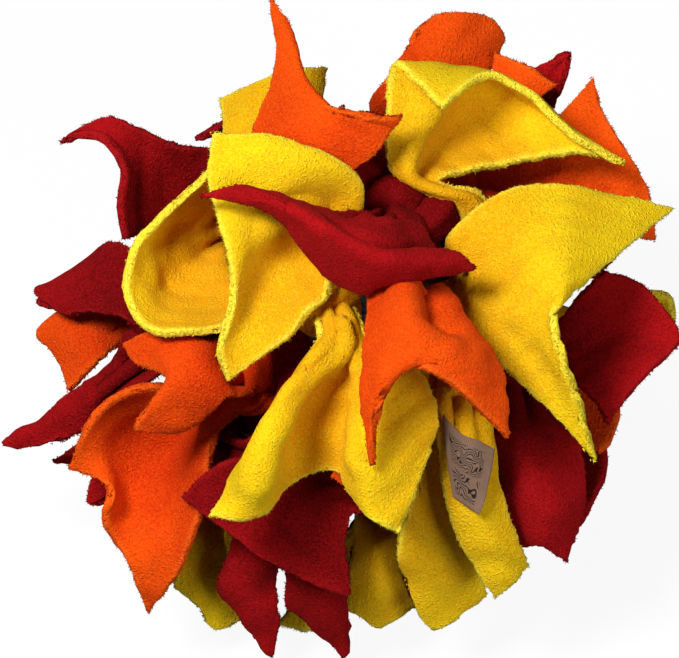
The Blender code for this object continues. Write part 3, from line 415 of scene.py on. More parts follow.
# Tails that the view's own tails hide. Each is set by its cut end: the degrees round from +X and above
# level of its middle as seen from the ball's, that middle's distance as a share of REACH, the degrees that
# the end is turned from square to the tail's lean, and its cup and slant as shares of REACH.
HIDDEN_TAILS = {
    "orange_q_back": (158, -16, .68, 10, .06, .05),
    "orange_r_back": (63, 8, .84, -10, -.06, -.05),
    "orange_t_low": (13, -43, .88, 0, .03, .04),
    "red_u_back": (24, -5, .86, 5, .06, .06),
    "yellow_v_low": (36, -28, .88, 5, .05, -.05),
    "red_w_low": (-76, -58, .92, 0, .02, .04),
    "orange_x_high": (114, 14, .62, -28, -.05, 0),
    "orange_x_back": (111, -11, .9, 5, .05, -.05),
    "yellow_y_high": (140, 0, .7, -5, .05, .02),
    "yellow_y_back": (116, -40, .9, -5, -.05, .05),
    "red_z_high": (73, -16, .84, -5, .05, .06),
    "red_z_back": (103, -40, .88, 5, -.04, -.05),
    "orange_aa_high": (54, -10, .86, 0, -.05, .05),
    "orange_aa_back": (57, -39, .88, 5, .04, .04),
    "red_bb_high": (151, -25, .86, -5, .06, -.05),
    "red_bb_low": (186, -42, .86, 5, .05, .04),
    "yellow_cc_left": (206, -58, .94, 0, .02, .04),
    "yellow_cc_back": (140, -58, .94, 0, .02, -.04),
    "yellow_dd_right": (28, -62, .96, 0, .02, -.04),
    "yellow_dd_back": (90, -58, .94, 0, .02, .04),
}
BACK_SPREAD_SHARES = ((0.40, 0.35), (0.70, 0.65), (1.0, 0.85))

# Tails that lift at their knots
LIFTING = ("red_d_front", "yellow_g_right", "orange_f_spike", "red_i_spike", "orange_r_top", "orange_b_front",
           "orange_q_left", "orange_t_right", "red_u_spike", "yellow_v_right", "yellow_k_cup")


def turn_to_floor(places):
    """Places in the view, as shares of REACH, turned upright by the view's tilt and made lengths."""
    x, y, z = np.moveaxis(np.asarray(places, dtype=float), -1, 0)
    sine, cosine = math.sin(VIEW_TILT), math.cos(VIEW_TILT)
    upright = np.stack([x, y * sine - z * cosine, y * cosine + z * sine], axis=-1)
    return upright * REACH + MIDDLE


def unit(vector):
    return vector / np.linalg.norm(vector, axis=-1, keepdims=True)


def lengths_along(net, axis):
    """How far each point lies along its row, column or line, and the whole length of that."""
    steps = np.linalg.norm(np.diff(net, axis=axis), axis=-1)
    far = np.insert(np.cumsum(steps, axis=axis), 0, 0, axis=axis)
    return far, np.take(far, [-1], axis=axis)


def cubic(points, slopes, cell, t, span=1):
    """The smooth curve from each cell's point to the next, with their slopes, at shares t of its span."""
    return (points[cell] * (1 + 2 * t) * (1 - t) ** 2 + slopes[cell] * span * t * (1 - t) ** 2
            + points[cell + 1] * t ** 2 * (3 - 2 * t) + slopes[cell + 1] * span * t ** 2 * (t - 1))


def smooth_through(points, count):
    """A smooth curve through the points (Catmull-Rom, paced by distance), read at count even places."""
    points = np.asarray(points, dtype=float)
    pace = np.linalg.norm(np.diff(points.reshape(len(points), -1), axis=0), axis=1)
    knots = np.concatenate([[0], np.cumsum(np.maximum(pace, pace.max() / 50))])
    gaps = np.diff(knots).reshape((-1,) + (1,) * (points.ndim - 1))
    steps = np.diff(points, axis=0) / gaps
    slopes = np.empty_like(points)
    slopes[0] = steps[0]
    slopes[-1] = steps[-1]
    slopes[1:-1] = (steps[:-1] * gaps[1:] + steps[1:] * gaps[:-1]) / (gaps[1:] + gaps[:-1])
    at = np.linspace(0, knots[-1], count)
    cell = np.clip(np.searchsorted(knots, at, side="right") - 1, 0, len(points) - 2)
    span = gaps[cell]
    return cubic(points, slopes, cell, (at - knots[cell]).reshape(span.shape) / span, span)


# Places of the ball's ribs, of the knots and of the tails
def ball_corners():
    """The 20 corners of a regular dodecahedron whose edges' middles lie at BALL_RADIUS."""
    golden = (1 + math.sqrt(5)) / 2
    corners = [(x, y, z) for x in (-1, 1) for y in (-1, 1) for z in (-1, 1)]
    for a in (-1 / golden, 1 / golden):
        for b in (-golden, golden):
            corners += [(0, a, b), (a, b, 0), (b, 0, a)]
    front = unit(np.array(BALL_FRONT))
    side = unit(np.cross([0, 1, 0], front))
    turned = np.array(corners) @ np.stack([np.cross(front, side), -side, front])
    return turned * BALL_RADIUS / golden


def ribs_of(corners):
    """Middle, outward way and lengthwise way of each of the 30 ribs, in the view's frame."""
    pairs = [(a, b) for i, a in enumerate(corners) for b in corners[i + 1:]]
    pairs.sort(key=lambda pair: round(np.linalg.norm(pair[1] - pair[0]) / BALL_RADIUS, 3))
    return [((a + b) / 2, unit(a + b), unit(b - a)) for a, b in pairs[:30]]


def seat_of(place, ribs):
    """The rib nearest to a place: its loop's middle, outward and lengthwise ways, in the upright frame."""
    place = np.array(place)
    middle, outward, along = max(ribs, key=lambda rib: rib[1] @ place)
    limit = SLIDE_SHARE * BALL_RADIUS
    slide = np.clip(place @ along * BALL_RADIUS / (place @ outward), -limit, limit)
    middle = middle - outward * RIB_DEPTH * LOOP_DROP_SHARE + along * slide
    origin = turn_to_floor((0, 0, 0))
    ways = (unit(turn_to_floor(way) - origin) for way in (outward, along))
    return turn_to_floor(middle / REACH), *ways


def knot_middle(seat):
    """A knot sits on the outer side of its loop."""
    middle, outward, _ = seat
    return middle + outward * (LOOP_OUTSIDE + KNOT_SEAT_SHARE * KNOT_RADIUS)


def back_rows(knot, round_by, above, reach, turned, cup, slant):
    """Rows of a hidden tail: straight from knot to cut end, with its outer face away from the ball."""
    round_by, above, turn = map(math.radians, (round_by, above, turned))
    level = math.cos(above)
    out = np.array([math.cos(round_by) * level, math.sin(round_by) * level, math.sin(above)])
    end = MIDDLE + out * reach * REACH
    lean = end - knot
    along = unit(lean - out * (lean @ out))
    square = np.cross(out, along)
    across = square * math.cos(turn) + along * math.sin(turn)
    outer = unit(np.cross(lean, across))
    outer *= np.sign(outer @ out)
    rows = []
    for share, spread in BACK_SPREAD_SHARES:
        middle = knot + lean * share
        half = across * spread * TAIL_WIDTH / 2
        rise = outer * cup * REACH * share ** 2
        lead = unit(lean) * slant * REACH * share
        rows.append(np.array([middle - half + rise - lead, middle - half / 2, middle - rise / 2,
                              middle + half / 2, middle + half + rise + lead]))
    return rows


def lay_tail(knot, rows, cells, lifts):
    """The middle surface of one tail as a grid of points, with its depth of cloth row by row."""
    across, along = cells
    toward = unit(rows[0].mean(axis=0) - knot)
    side = unit(rows[0][-1] - rows[0][0])
    side = unit(side - toward * (side @ toward))
    line = side * NECK_WIDTH * np.array([[-.5], [0], [.5]])
    if lifts:
        neck = [knot + toward * HINGE_REACH + line * ROOT_WIDTH_SHARE]
    else:
        neck = [knot + toward * KNOT_RADIUS * ROOT_SHARE + line * ROOT_WIDTH_SHARE,
                knot + toward * KNOT_RADIUS * NECK_OUT_SHARE + line]
    rows = [row if len(row) == across + 1 else smooth_through(row, across + 1) for row in neck + list(rows)]
    net = smooth_through(rows, along + 1)
    pace = lengths_along(net.mean(axis=1), 0)[0]
    t = np.clip(pace / pace[-1] / NECK_END_SHARE, 0, 1)
    depth = NECK_DEPTH + (FLEECE - NECK_DEPTH) * t * t * (3 - 2 * t)
    return net, depth


def tails_of(strip, tails):
    """Those of the tails that belong to one strip."""
    return [tail for tail in tails if tail.rsplit("_", 1)[0] == strip]


def shown_tails():
    """The tails of TAIL_LINES: each one's cells and its rows of points."""
    tails = {}
    for line in TAIL_LINES.strip().splitlines():
        words = line.split()
        if words[0][0].isalpha():
            rows = []
            tails[words[0]] = ((int(words[1]), int(words[2])), rows)
        else:
            rows.append(np.array(words, dtype=float).reshape(-1, 3))
    return tails


def all_tails(seats):
    """Every tail's drawn grid and depth, strip by strip."""
    drawn = {}
    rows_of = shown_tails()
    for strip, seat in seats.items():
        knot = knot_middle(seat)
        for tail in tails_of(strip, rows_of):
            cells, rows = rows_of[tail]
            drawn[tail] = lay_tail(knot, [turn_to_floor(row) for row in rows], cells, tail in LIFTING)
        for tail in tails_of(strip, HIDDEN_TAILS):
            drawn[tail] = lay_tail(knot, back_rows(knot, *HIDDEN_TAILS[tail]), BACK_CELLS, tail in LIFTING)
    return drawn


def faces_of(rows, cols):
    """The triangles of a grid, two to a cell."""
    index = np.arange(rows * cols).reshape(rows, cols)
    a, b, c, d = index[:-1, :-1], index[:-1, 1:], index[1:, 1:], index[1:, :-1]
    return np.concatenate([np.stack([a, b, c], -1).reshape(-1, 3), np.stack([a, c, d], -1).reshape(-1, 3)])


def near_places(nets, faces, search, pinned):
    """For each two tails, the first's points that lie near the second: its place, facing and row there."""
    trees = {n: BVHTree.FromPolygons(net.reshape(-1, 3).tolist(), faces[n].tolist())
             for n, net in nets.items()}
    low = {n: net.min(axis=(0, 1)) - search for n, net in nets.items()}
    high = {n: net.max(axis=(0, 1)) + search for n, net in nets.items()}
    hits = {}
    for name, net in nets.items():
        points = net.reshape(-1, 3)
        for other in nets:
            near = np.all((points > low[other]) & (points < high[other]), axis=1)
            near[:net.shape[1] * pinned] = False
            found = []
            for n in np.flatnonzero(near if other != name else []):
                place, facing, face, _ = trees[other].find_nearest(points[n].tolist(), search)
                if place is not None:
                    found.append((n, *place, *facing, faces[other][face][0] // nets[other].shape[1]))
            if found:
                hits[name, other] = np.array(found)
    return hits


def heights_over(points, found):
    """How points lie off the places near them: the move from the place, its length, the place's facing, the
    height above it, and whether the point lies inside the other tail's edges."""
    away, facing = points - found[:, 1:4], found[:, 4:7]
    gap = np.linalg.norm(away, axis=1)
    height = np.einsum("ij,ij->i", away, facing)
    return away, gap, facing, height, np.abs(height) > INNER_SHARE * gap


def push_from(points, found, side, need, may_flip):
    """Moves of points straight away from the places nearest to them, or through the other tail where the
    most of their own tail lies past it, each no longer than a set share of the toy's reach."""
    away, gap, facing, height, inner = heights_over(points, found)
    wish = facing @ (side / (np.linalg.norm(side) + 1e-9))
    wrong = inner & (np.sign(height) != np.sign(wish)) & (np.abs(wish) > SURE_SHARE) & may_flip
    straight = np.where(inner[:, None], np.sign(height)[:, None] * facing, away / (gap[:, None] + 1e-9))
    push = np.where(wrong[:, None], np.sign(wish)[:, None] * facing * (need + gap)[:, None],
                    straight * np.maximum(need - gap, 0)[:, None])
    size = np.linalg.norm(push, axis=1, keepdims=True)
    return push * np.minimum(1, PUSH_LIMIT_SHARE * REACH / (size + 1e-9))


def side_of(points, found):
    """The way that most points of a tail lie from the tail near them."""
    _, _, facing, height, inner = heights_over(points, found)
    return ((np.sign(height) * inner)[:, None] * facing).sum(axis=0)


def bend_back(net, drawn, thick, rounds, turn, pinned):
    """A moved tail eased towards its drawn shape, kept off the knots, the loops, the ball and the floor."""
    bend = net - drawn
    stiff = STIFF_SHARE * max(0, 1 - turn / (STIFF_UNTIL_SHARE * ROUNDS))
    padded = np.pad(bend, ((1, 1), (1, 1), (0, 0)), mode="edge")
    near = (padded[:-2, 1:-1] + padded[2:, 1:-1] + padded[1:-1, :-2] + padded[1:-1, 2:]) / 4
    bend += (near - bend) * stiff
    bend[:pinned] = 0
    net = drawn + bend
    for middle, radius in rounds:
        away = net - middle
        gap = np.linalg.norm(away, axis=-1)
        short = np.maximum(radius + thick[:, None] + FLAP_ROOM - gap, 0)
        short[:pinned] = 0
        net = net + away / (gap[..., None] + 1e-9) * short[..., None]
    net[..., 2] = np.maximum(net[..., 2], thick[:, None] - REST_CUT)
    return net


def clear_apart(tails, rounds, turns, pinned):
    """Tails moved, in each round given, away from the others, the knots, the ball and the floor.

    Every point of a tail that lies nearer to another tail than the two cloths' half depths and FLAP_ROOM is
    moved straight away from it, towards the side on which most of the two tails already lie.
    """
    nets = {name: net for name, (net, depth) in tails.items()}
    half = {name: depth / 2 for name, (net, depth) in tails.items()}
    half[LABEL_TAIL] = half[LABEL_TAIL] + SEAT_GAP + LABEL_DEPTH
    faces = {name: faces_of(*net.shape[:2]) for name, net in nets.items()}
    votes = {}
    for turn in turns:
        search = UNCROSS_REACH if turn < UNCROSS_ROUNDS else NECK_DEPTH + FLAP_ROOM
        hits = near_places(nets, faces, search, pinned)
        points = {name: net.reshape(-1, 3) for name, net in nets.items()}
        moves = {name: np.zeros_like(spots) for name, spots in points.items()}
        for (name, other), found in hits.items():
            vote = side_of(points[name][found[:, 0].astype(int)], found)
            votes[name, other] = votes.get((name, other), 0) + vote
        for (name, other), found in hits.items():
            at = found[:, 0].astype(int)
            side = votes[name, other] - votes.get((other, name), 0)
            need = half[name][at // nets[name].shape[1]] + half[other][found[:, 7].astype(int)] + FLAP_ROOM
            push = push_from(points[name][at], found, side, need, turn < FLIP_ROUNDS)
            longer = np.linalg.norm(push, axis=1) > np.linalg.norm(moves[name][at], axis=1)
            moves[name][at[longer]] = push[longer]
        for name, (drawn, depth) in tails.items():
            moved = nets[name] + moves[name].reshape(drawn.shape) * STEP_SHARE
            nets[name] = bend_back(moved, drawn, half[name], rounds, turn, pinned)
    return nets


def curve_weights(count, at):
    """The weights of count numbered points in the smooth curve through them, read at the places given.

    Between two points the curve is the cubic whose slope at each point is half the step from the point
    before it to the point after it.
    """
    points = np.eye(count)
    slopes = np.concatenate([points[1:2] - points[:1], (points[2:] - points[:-2]) / 2,
                             points[-1:] - points[-2:-1]])
    cell = np.clip(np.floor(at).astype(int), 0, count - 2)
    return cubic(points, slopes, cell, (at - cell)[:, None])


def read_grid(net, down, across):
    """A grid of points read at the rows and columns given, on smooth curves both ways."""
    return np.einsum("ia,abk,jb->ijk", curve_weights(net.shape[0], down), net,
                     curve_weights(net.shape[1], across))


ribs = ribs_of(ball_corners())
seats = {strip: seat_of(place, ribs) for strip, place in KNOTS.items()}
tails = all_tails(seats)
kept_off = [(knot_middle(seat), KNOT_RADIUS) for seat in seats.values()]
kept_off += [(seat[0], LOOP_OUTSIDE) for seat in seats.values()]
kept_off += [(MIDDLE, BALL_RADIUS + LOOP_OUTSIDE / 2)]
laid = clear_apart(tails, kept_off, range(ROUNDS), PINNED_ROWS)
depths = {tail: depth for tail, (net, depth) in tails.items()}
finer = {}
for tail, net in laid.items():
    down = np.linspace(0, net.shape[0] - 1, 2 * net.shape[0] - 1)
    across = np.linspace(0, net.shape[1] - 1, 2 * net.shape[1] - 1)
    finer[tail] = (read_grid(net, down, across), curve_weights(net.shape[0], down) @ depths[tail])
laid = clear_apart(finer, kept_off, range(*FINER_ROUNDS), FINER_PINNED_ROWS)
depths = {tail: depth for tail, (net, depth) in finer.items()}


# The lattice ball
# A hollow dodecahedral lattice moulded in black natural rubber, with a fine parting texture, a little bloom
# and lint from the fleece. Only its ribs' inner and side faces show, between the strips.
def mixed(nodes, factor, first, second):
    """The first colour, with as much of the second as the factor says."""
    return linked(nodes, "ShaderNodeMix", data_type="RGBA", i0=factor, i6=first, i7=second).outputs[2]


def noise(nodes, spot, scale, detail, rough=0.5, bend=0.0):
    """Cloudy noise of one scale."""
    return linked(nodes, "ShaderNodeTexNoise", Vector=spot, Scale=scale, Detail=detail, Roughness=rough,
                  Distortion=bend).outputs["Fac"]


def cells(nodes, spot, scale):
    """How far a place is from the nearest of scattered points."""
    return linked(nodes, "ShaderNodeTexVoronoi", Vector=spot, Scale=scale).outputs["Distance"]


def new_marks(name, colours, values):
    """A node group that takes the colours and values named, and gives a Colour, a Roughness and a Height:
    its nodes, what it takes, and the place on the piece."""
    group = bpy.data.node_groups.new(name, "ShaderNodeTree")
    for names, kind, way in ((colours, "Color", "INPUT"), (values, "Float", "INPUT"),
                             (["Colour"], "Color", "OUTPUT"), (["Roughness", "Height"], "Float", "OUTPUT")):
        for socket in names:
            group.interface.new_socket(name=socket, socket_type="NodeSocket" + kind, in_out=way)
    given = group.nodes.new("NodeGroupInput").outputs
    return group.nodes, given, group.nodes.new("ShaderNodeTexCoord").outputs["Object"]


# The rubber's and its bloom's colours, how strong and high its marks are, and how many lie along a metre
RUBBER_COLOURS = {"Rubber": (0.014, 0.013, 0.013, 1), "Bloom": (0.05, 0.045, 0.045, 1)}
RUBBER_BUMP = (0.4, 0.0002)
PIT_SCALE = 1400
LINT_SCALE = 260
BLOOM_SCALE = 90


def rubber_marks():
    """Moulded rubber: broad grey bloom, fine pitting and pale lint caught on it."""
    nodes, given, spot = new_marks("rubber_marks", ["Rubber", "Bloom"], [])
    pits = noise(nodes, spot, PIT_SCALE, 2)
    speck = ramp(nodes, cells(nodes, spot, LINT_SCALE), 0.05, 0.12, 0.5, 0)
    bloom = ramp(nodes, noise(nodes, spot, BLOOM_SCALE, 3), 0.4, 0.7, 0, 0.35)
    colour = mixed(nodes, maths(nodes, "ADD", speck, bloom), given["Rubber"], given["Bloom"])
    linked(nodes, "NodeGroupOutput", Colour=colour, Roughness=ramp(nodes, pits, 0, 1, 0.55, 0.8), Height=pits)
    return nodes.id_data


def covered(name, marks, bump, given, shine):
    """A material of one group of marks: its bumps' strength and height, what the group takes, its shine."""
    made, nodes = new_material(name)
    cover = linked(nodes, "ShaderNodeGroup", node_tree=marks, **given).outputs
    bumps = linked(nodes, "ShaderNodeBump", Strength=bump[0], Distance=bump[1], Height=cover["Height"])
    fill(nodes["Principled BSDF"], Base_Color=cover["Colour"], Roughness=cover["Roughness"],
         Normal=bumps.outputs["Normal"], **shine)
    return made


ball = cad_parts["lattice_ball"]
ball.data.materials.clear()
ball.data.materials.append(covered("moulded_rubber", rubber_marks(), RUBBER_BUMP, RUBBER_COLOURS, {}))


# The fleece
# Polyester fleece, 3 mm thick, brushed to a short felted nap that clumps into soft lumps and pills. Its cut
# edges are not hemmed: the fibres stand out of them, and catch more light than the nap does.

# How strong and high the nap is, how many of each mark lie along a metre, and the painted shade within the
# toy: how far from its middle it starts to give way, and how much of it there is
NAP_BUMP = (0.85, 0.0006)
CLUMP_SCALE = 1200
FIBRE_SCALE = 2600
PILL_SCALE = 900
RUB_SCALE = 70
PAINTED_SHADE_FROM_SHARE = 0.55
PAINTED_SHADE_MOST = 0.85


def fleece_nap():
    """Brushed fleece: rubbed patches, nap clumps, pills, painted fibre and edge highlights, painted inner
    shade.
    """
    nodes, given, spot = new_marks("fleece_nap", ["Nap", "Deep", "Fibre"], ["Edge"])
    clumps = noise(nodes, spot, CLUMP_SCALE, 3, 0.6, 0.6)
    fibres = noise(nodes, spot, FIBRE_SCALE, 2, 0.6)
    pill = ramp(nodes, cells(nodes, spot, PILL_SCALE), 0.10, 0.45, 1, 0, "SMOOTHSTEP")
    rubbed = ramp(nodes, noise(nodes, spot, RUB_SCALE, 2), 0.3, 0.7, 0, 0.30)
    dark = ramp(nodes, clumps, 0.38, 0.58, 0.38, 0, "SMOOTHSTEP")
    # Painted shade: the nap is mixed towards its deeper colour nearer the toy's middle, standing in for the
    # shade among the strips
    away = linked(nodes, "ShaderNodeVectorMath", operation="DISTANCE", i0=spot, i1=tuple(MIDDLE))
    inner = ramp(nodes, away.outputs["Value"], PAINTED_SHADE_FROM_SHARE * REACH, REACH, PAINTED_SHADE_MOST, 0, "SMOOTHSTEP")
    # Share of the deeper colour: darker clumps and rubbed patches of the nap, plus the painted shade within
    # the toy
    depth = maths(nodes, "ADD", dark, maths(nodes, "ADD", rubbed, inner), clamp=True)
    worn_and_shaded = mixed(nodes, depth, given["Nap"], given["Deep"])
    # Painted highlight: single fibres drawn paler, towards the fibres' colour, as if they caught the light
    glint = ramp(nodes, fibres, 0.52, 0.75, 0, 0.45)
    pale = maths(nodes, "ADD", glint, maths(nodes, "MULTIPLY", pill, 0.32))
    # Painted highlight on the cut edges, as if their standing fibres caught the light, broken up by the
    # clumps
    cut = linked(nodes, "ShaderNodeAttribute", attribute_name="cut_edge").outputs["Fac"]
    edge_highlight_share = maths(nodes, "MULTIPLY", cut, given["Edge"])
    edge_highlight = maths(nodes, "MULTIPLY", edge_highlight_share, ramp(nodes, clumps, 0.35, 0.65, 0.35, 1))
    lit = mixed(nodes, maths(nodes, "ADD", pale, edge_highlight, clamp=True), worn_and_shaded, given["Fibre"])
    lumps = maths(nodes, "ADD", clumps, maths(nodes, "MULTIPLY", fibres, 0.35))
    height = maths(nodes, "ADD", lumps, maths(nodes, "MULTIPLY", pill, 0.55))
    linked(nodes, "NodeGroupOutput", Colour=lit, Roughness=ramp(nodes, fibres, 0, 1, 0.88, 1), Height=height)
    return nodes.id_data


# Each colour's nap, its deeper colour for darker nap and painted shade, its fibres' colour for painted
# highlights and the sheen's tint, how strong its cut edges' painted highlight is, and its sheen
NAP = fleece_nap()
FINISHES = {
    name: covered(name + "_fleece", NAP, NAP_BUMP,
                  {"Nap": (*nap, 1), "Deep": (*deep, 1), "Fibre": (*fibre, 1), "Edge": edge},
                  {"Specular_IOR_Level": 0.08, "Sheen_Weight": sheen, "Sheen_Roughness": 0.45,
                   "Sheen_Tint": (*fibre, 1)})
    for name, nap, deep, fibre, edge, sheen in (
        ("red", (0.46, 0.005, 0.007), (0.13, 0.0005, 0.001), (0.50, 0.012, 0.016), 0.4, 0.05),
        ("orange", (0.96, 0.090, 0.002), (0.56, 0.024, 0.001), (1.0, 0.16, 0.01), 0.6, 0.07),
        ("yellow", (0.99, 0.70, 0.004), (0.80, 0.34, 0.0005), (1.0, 0.86, 0.06), 1.0, 0.10))
}


# The tails
# Each tail is one end of a strip: gathered into pleats where it leaves its knot, and spreading to a cut end
# that is square, slanted or split. The cloth keeps its 3 mm all over, and its cut edges are round.
CELL_SIZE = 0.0013
EDGE_PLACES = (0, 0.0004, 0.0009, 0.0016)
EDGE_ROUND = 0.0016
EDGE_FULL = 0.36
# How far the cut edge mask reaches: it jitters the edge's points, and the fleece paints a highlight along it
EDGE_GLOW = 0.0011
PLEATS = 2.5
RIPPLE = 0.00022
RIPPLE_WAVES = 3
RIPPLE_PACES = (0.009, 0.022)
FLOOR_SKIN = 0.0001
FRAY = 0.00018

# Soft folds of single tails: two places as shares across and down, then the fold's height and half width
FOLDS = {
    "red_d_front": [((.36, .64), (.97, .66), -.0065, .0045), ((.30, .44), (.90, .44), .0045, .0040)],
    "yellow_a_middle": [((.42, .25), (.18, .85), .0040, .0045), ((.45, .25), (.72, .80), .0035, .0040),
                        ((.44, .50), (.46, 1.), -.0055, .0085)],
    "yellow_a_left": [((.27, .80), (.25, .20), -.0060, .0065), ((.05, .80), (.04, .25), .0030, .0050),
                      ((.66, .80), (.62, .20), -.0040, .0080)],
    "orange_b_front": [((.66, .35), (.62, .75), -.0055, .0055), ((.45, .35), (.40, .80), .0030, .0050)],
    "yellow_g_right": [((.40, .10), (.48, .55), -.0045, .0080), ((.65, .40), (.70, .90), .0025, .0060)],
    "yellow_g_top": [((.60, .35), (.62, .70), -.0060, .0090), ((.30, .15), (.33, .72), .0040, .0060)],
    "orange_c_low": [((.55, .30), (.50, 1.), -.0060, .0090)],
    "yellow_k_cup": [((.45, .55), (.50, .75), -.0035, .0110)],
    "red_h_left": [((.35, .40), (.30, 1.), -.0045, .0070), ((.70, .40), (.72, 1.), -.0040, .0060)],
}


def facing_of(net):
    """The way each point of a grid faces, away from the ball, and whether that turns its faces over."""
    facing = np.cross(np.gradient(net, axis=1), np.gradient(net, axis=0))
    facing = facing / (np.linalg.norm(facing, axis=-1, keepdims=True) + 1e-12)
    side = np.sign(np.sum(facing * (net - MIDDLE)))
    return facing * side, side


def places_across(length, both):
    """Places from 0 to 1 along a length, a cell apart and closer at its cut end, or at both its ends."""
    edge = np.array(EDGE_PLACES) / length
    count = max(int(length / CELL_SIZE), 8)
    first = edge if both else edge[:1]
    inner = np.linspace(first[-1], 1 - edge[-1], count)
    return np.concatenate([first[:-1], inner, 1 - edge[-2::-1]])


def ripples(far, wide, rng):
    """The height of a few sine waves that run over a cloth at a slant."""
    ripple = np.zeros_like(far)
    for _ in range(RIPPLE_WAVES):
        pace, turn, phase = rng.uniform(*RIPPLE_PACES), rng.uniform(0, np.pi), rng.uniform(0, 6)
        ripple += np.sin(2 * np.pi * (far * np.cos(turn) + wide * np.sin(turn)) / pace + phase)
    return ripple * RIPPLE


def soft_folds(tail, far, wide, whole):
    """The height of a tail's soft folds: h exp(-(d / w)^2) each, at a distance d from the fold's line."""
    size = np.array([whole.mean(), far[-1].mean()])
    place = np.stack([wide / whole, far / far[-1:]], -1) * size
    fold = np.zeros_like(far)
    for start, end, height, spread in FOLDS.get(tail, ()):
        way = (np.array(end) - start) * size
        share = np.clip((place - start * size) @ way / (way @ way), 0, 1)
        off = np.linalg.norm(place - start * size - share[..., None] * way, axis=-1)
        fold += height * np.exp(-(off / spread) ** 2)
    return fold


def sheet_grids(tail, net, depth, knot):
    """The under and outer grids of a tail's cloth, its cut edge mask and its cut size.

    The middle surface is the smooth surface through the laid grid, raised by pleats, which are a sine wave
    across it, as high as the gathered neck is deeper than the cloth, and by ripples and soft folds. Each
    side lies half the cloth's depth off that surface, less near a cut edge on a quarter round.
    """
    rng = np.random.default_rng(sum(ord(letter) * place for place, letter in enumerate(tail, 1)))
    if tail in LIFTING:
        toward = unit(net[0].mean(axis=0) - knot)
        root = net[:1] - toward * (HINGE_REACH - KNOT_RADIUS * ROOT_SHARE)
        net = np.concatenate([root, (root + net[:1]) / 2, net])
        depth = np.concatenate([depth[:1], depth[:1], depth])
    width = np.median(lengths_along(net, 1)[1])
    length = np.median(lengths_along(net, 0)[1])
    down = places_across(length, False) * (net.shape[0] - 1)
    across = places_across(width, True) * (net.shape[1] - 1)
    middle = read_grid(net, down, across)
    bulk = curve_weights(net.shape[0], down) @ depth
    facing, side = facing_of(middle)
    u = (across / (net.shape[1] - 1))[None, :]
    pleat = np.maximum(bulk - FLEECE, 0)[:, None] / 2 * np.sin(2 * np.pi * PLEATS * u + rng.uniform(0, 6))
    far, _ = lengths_along(middle, 0)
    wide, whole = lengths_along(middle, 1)
    rise = pleat + ripples(far, wide, rng) + soft_folds(tail, far, wide, whole)
    middle = middle + facing * rise[..., None]
    facing, side = facing_of(middle)
    near = np.minimum(np.minimum(wide, whole - wide), far[-1:] - far)
    # The cut edge mask, which jitters the edge's points and carries the fleece's painted edge highlight
    cut = np.exp(-(near / EDGE_GLOW) ** 2)
    middle = middle + rng.normal(size=middle.shape) * (FRAY * cut)[..., None]
    short = 1 - np.minimum(near / EDGE_ROUND, 1)
    half = FLEECE / 2 * np.sqrt(1 - (1 - EDGE_FULL) * short ** 2)
    lift = facing * half[..., None]
    low, high = middle - lift, middle + lift
    for skin in (low, high):
        skin[..., 2] = np.maximum(skin[..., 2], FLOOR_SKIN)
    open_rows = far[:, 0] > NECK_END_SHARE * far[-1, 0]
    pleated = lengths_along(middle, 1)[1]
    cut_size = (float(max(whole[open_rows].mean(), pleated.mean())), float(np.median(far[-1])))
    return low, high, side, cut, cut_size


def shown(name, points, faces, finish, cut=None):
    """A smooth-shaded piece whose faces have one number of corners, and its cut edge's mask if it has one."""
    mesh = bpy.data.meshes.new(name)
    mesh.vertices.add(len(points))
    mesh.vertices.foreach_set("co", points.ravel())
    mesh.loops.add(faces.size)
    mesh.loops.foreach_set("vertex_index", faces.ravel().astype(np.int32))
    mesh.polygons.add(len(faces))
    mesh.polygons.foreach_set("loop_start", np.arange(0, faces.size, faces.shape[1], dtype=np.int32))
    mesh.update(calc_edges=True)
    if cut is not None:
        mask = mesh.attributes.new("cut_edge", "FLOAT", "POINT")
        mask.data.foreach_set("value", cut.astype(np.float32))
    mesh.materials.append(finish)
    mesh.shade_smooth()
    return placed(name, mesh)


def sheet_of(name, low, high, side, cut, finish):
    """A sheet of cloth between its two grids of points, with the rim that joins them."""
    rows, cols = low.shape[:2]
    index = np.arange(rows * cols).reshape(rows, cols)
    a, b, c, d = (k.ravel() for k in (index[:-1, :-1], index[:-1, 1:], index[1:, 1:], index[1:, :-1]))
    under = rows * cols
    rim = np.concatenate([index[0, :-1], index[:-1, -1], index[-1, :0:-1], index[:0:-1, 0]])
    after = np.roll(rim, -1)
    quads = np.concatenate([np.stack([a, b, c, d], 1), np.stack([a, d, c, b], 1) + under,
                            np.stack([after, rim, rim + under, after + under], 1)])
    points = np.concatenate([high.reshape(-1, 3), low.reshape(-1, 3)])
    return shown(name, points, quads[:, ::-1] if side < 0 else quads, finish, cut)


# Standing fibres along the cut edges: the step between them, the least and greatest length, the width, how
# much painted highlight they take, and how far from straight out and from the cloth's middle they stand
TUFT_PITCH = 0.00034
TUFT_LENGTHS = (0.0006, 0.0013)
TUFT_THICK = 0.00058
TUFT_PALE = 0.8
TUFT_LEAN = 0.45
TUFT_SPREAD = 0.36


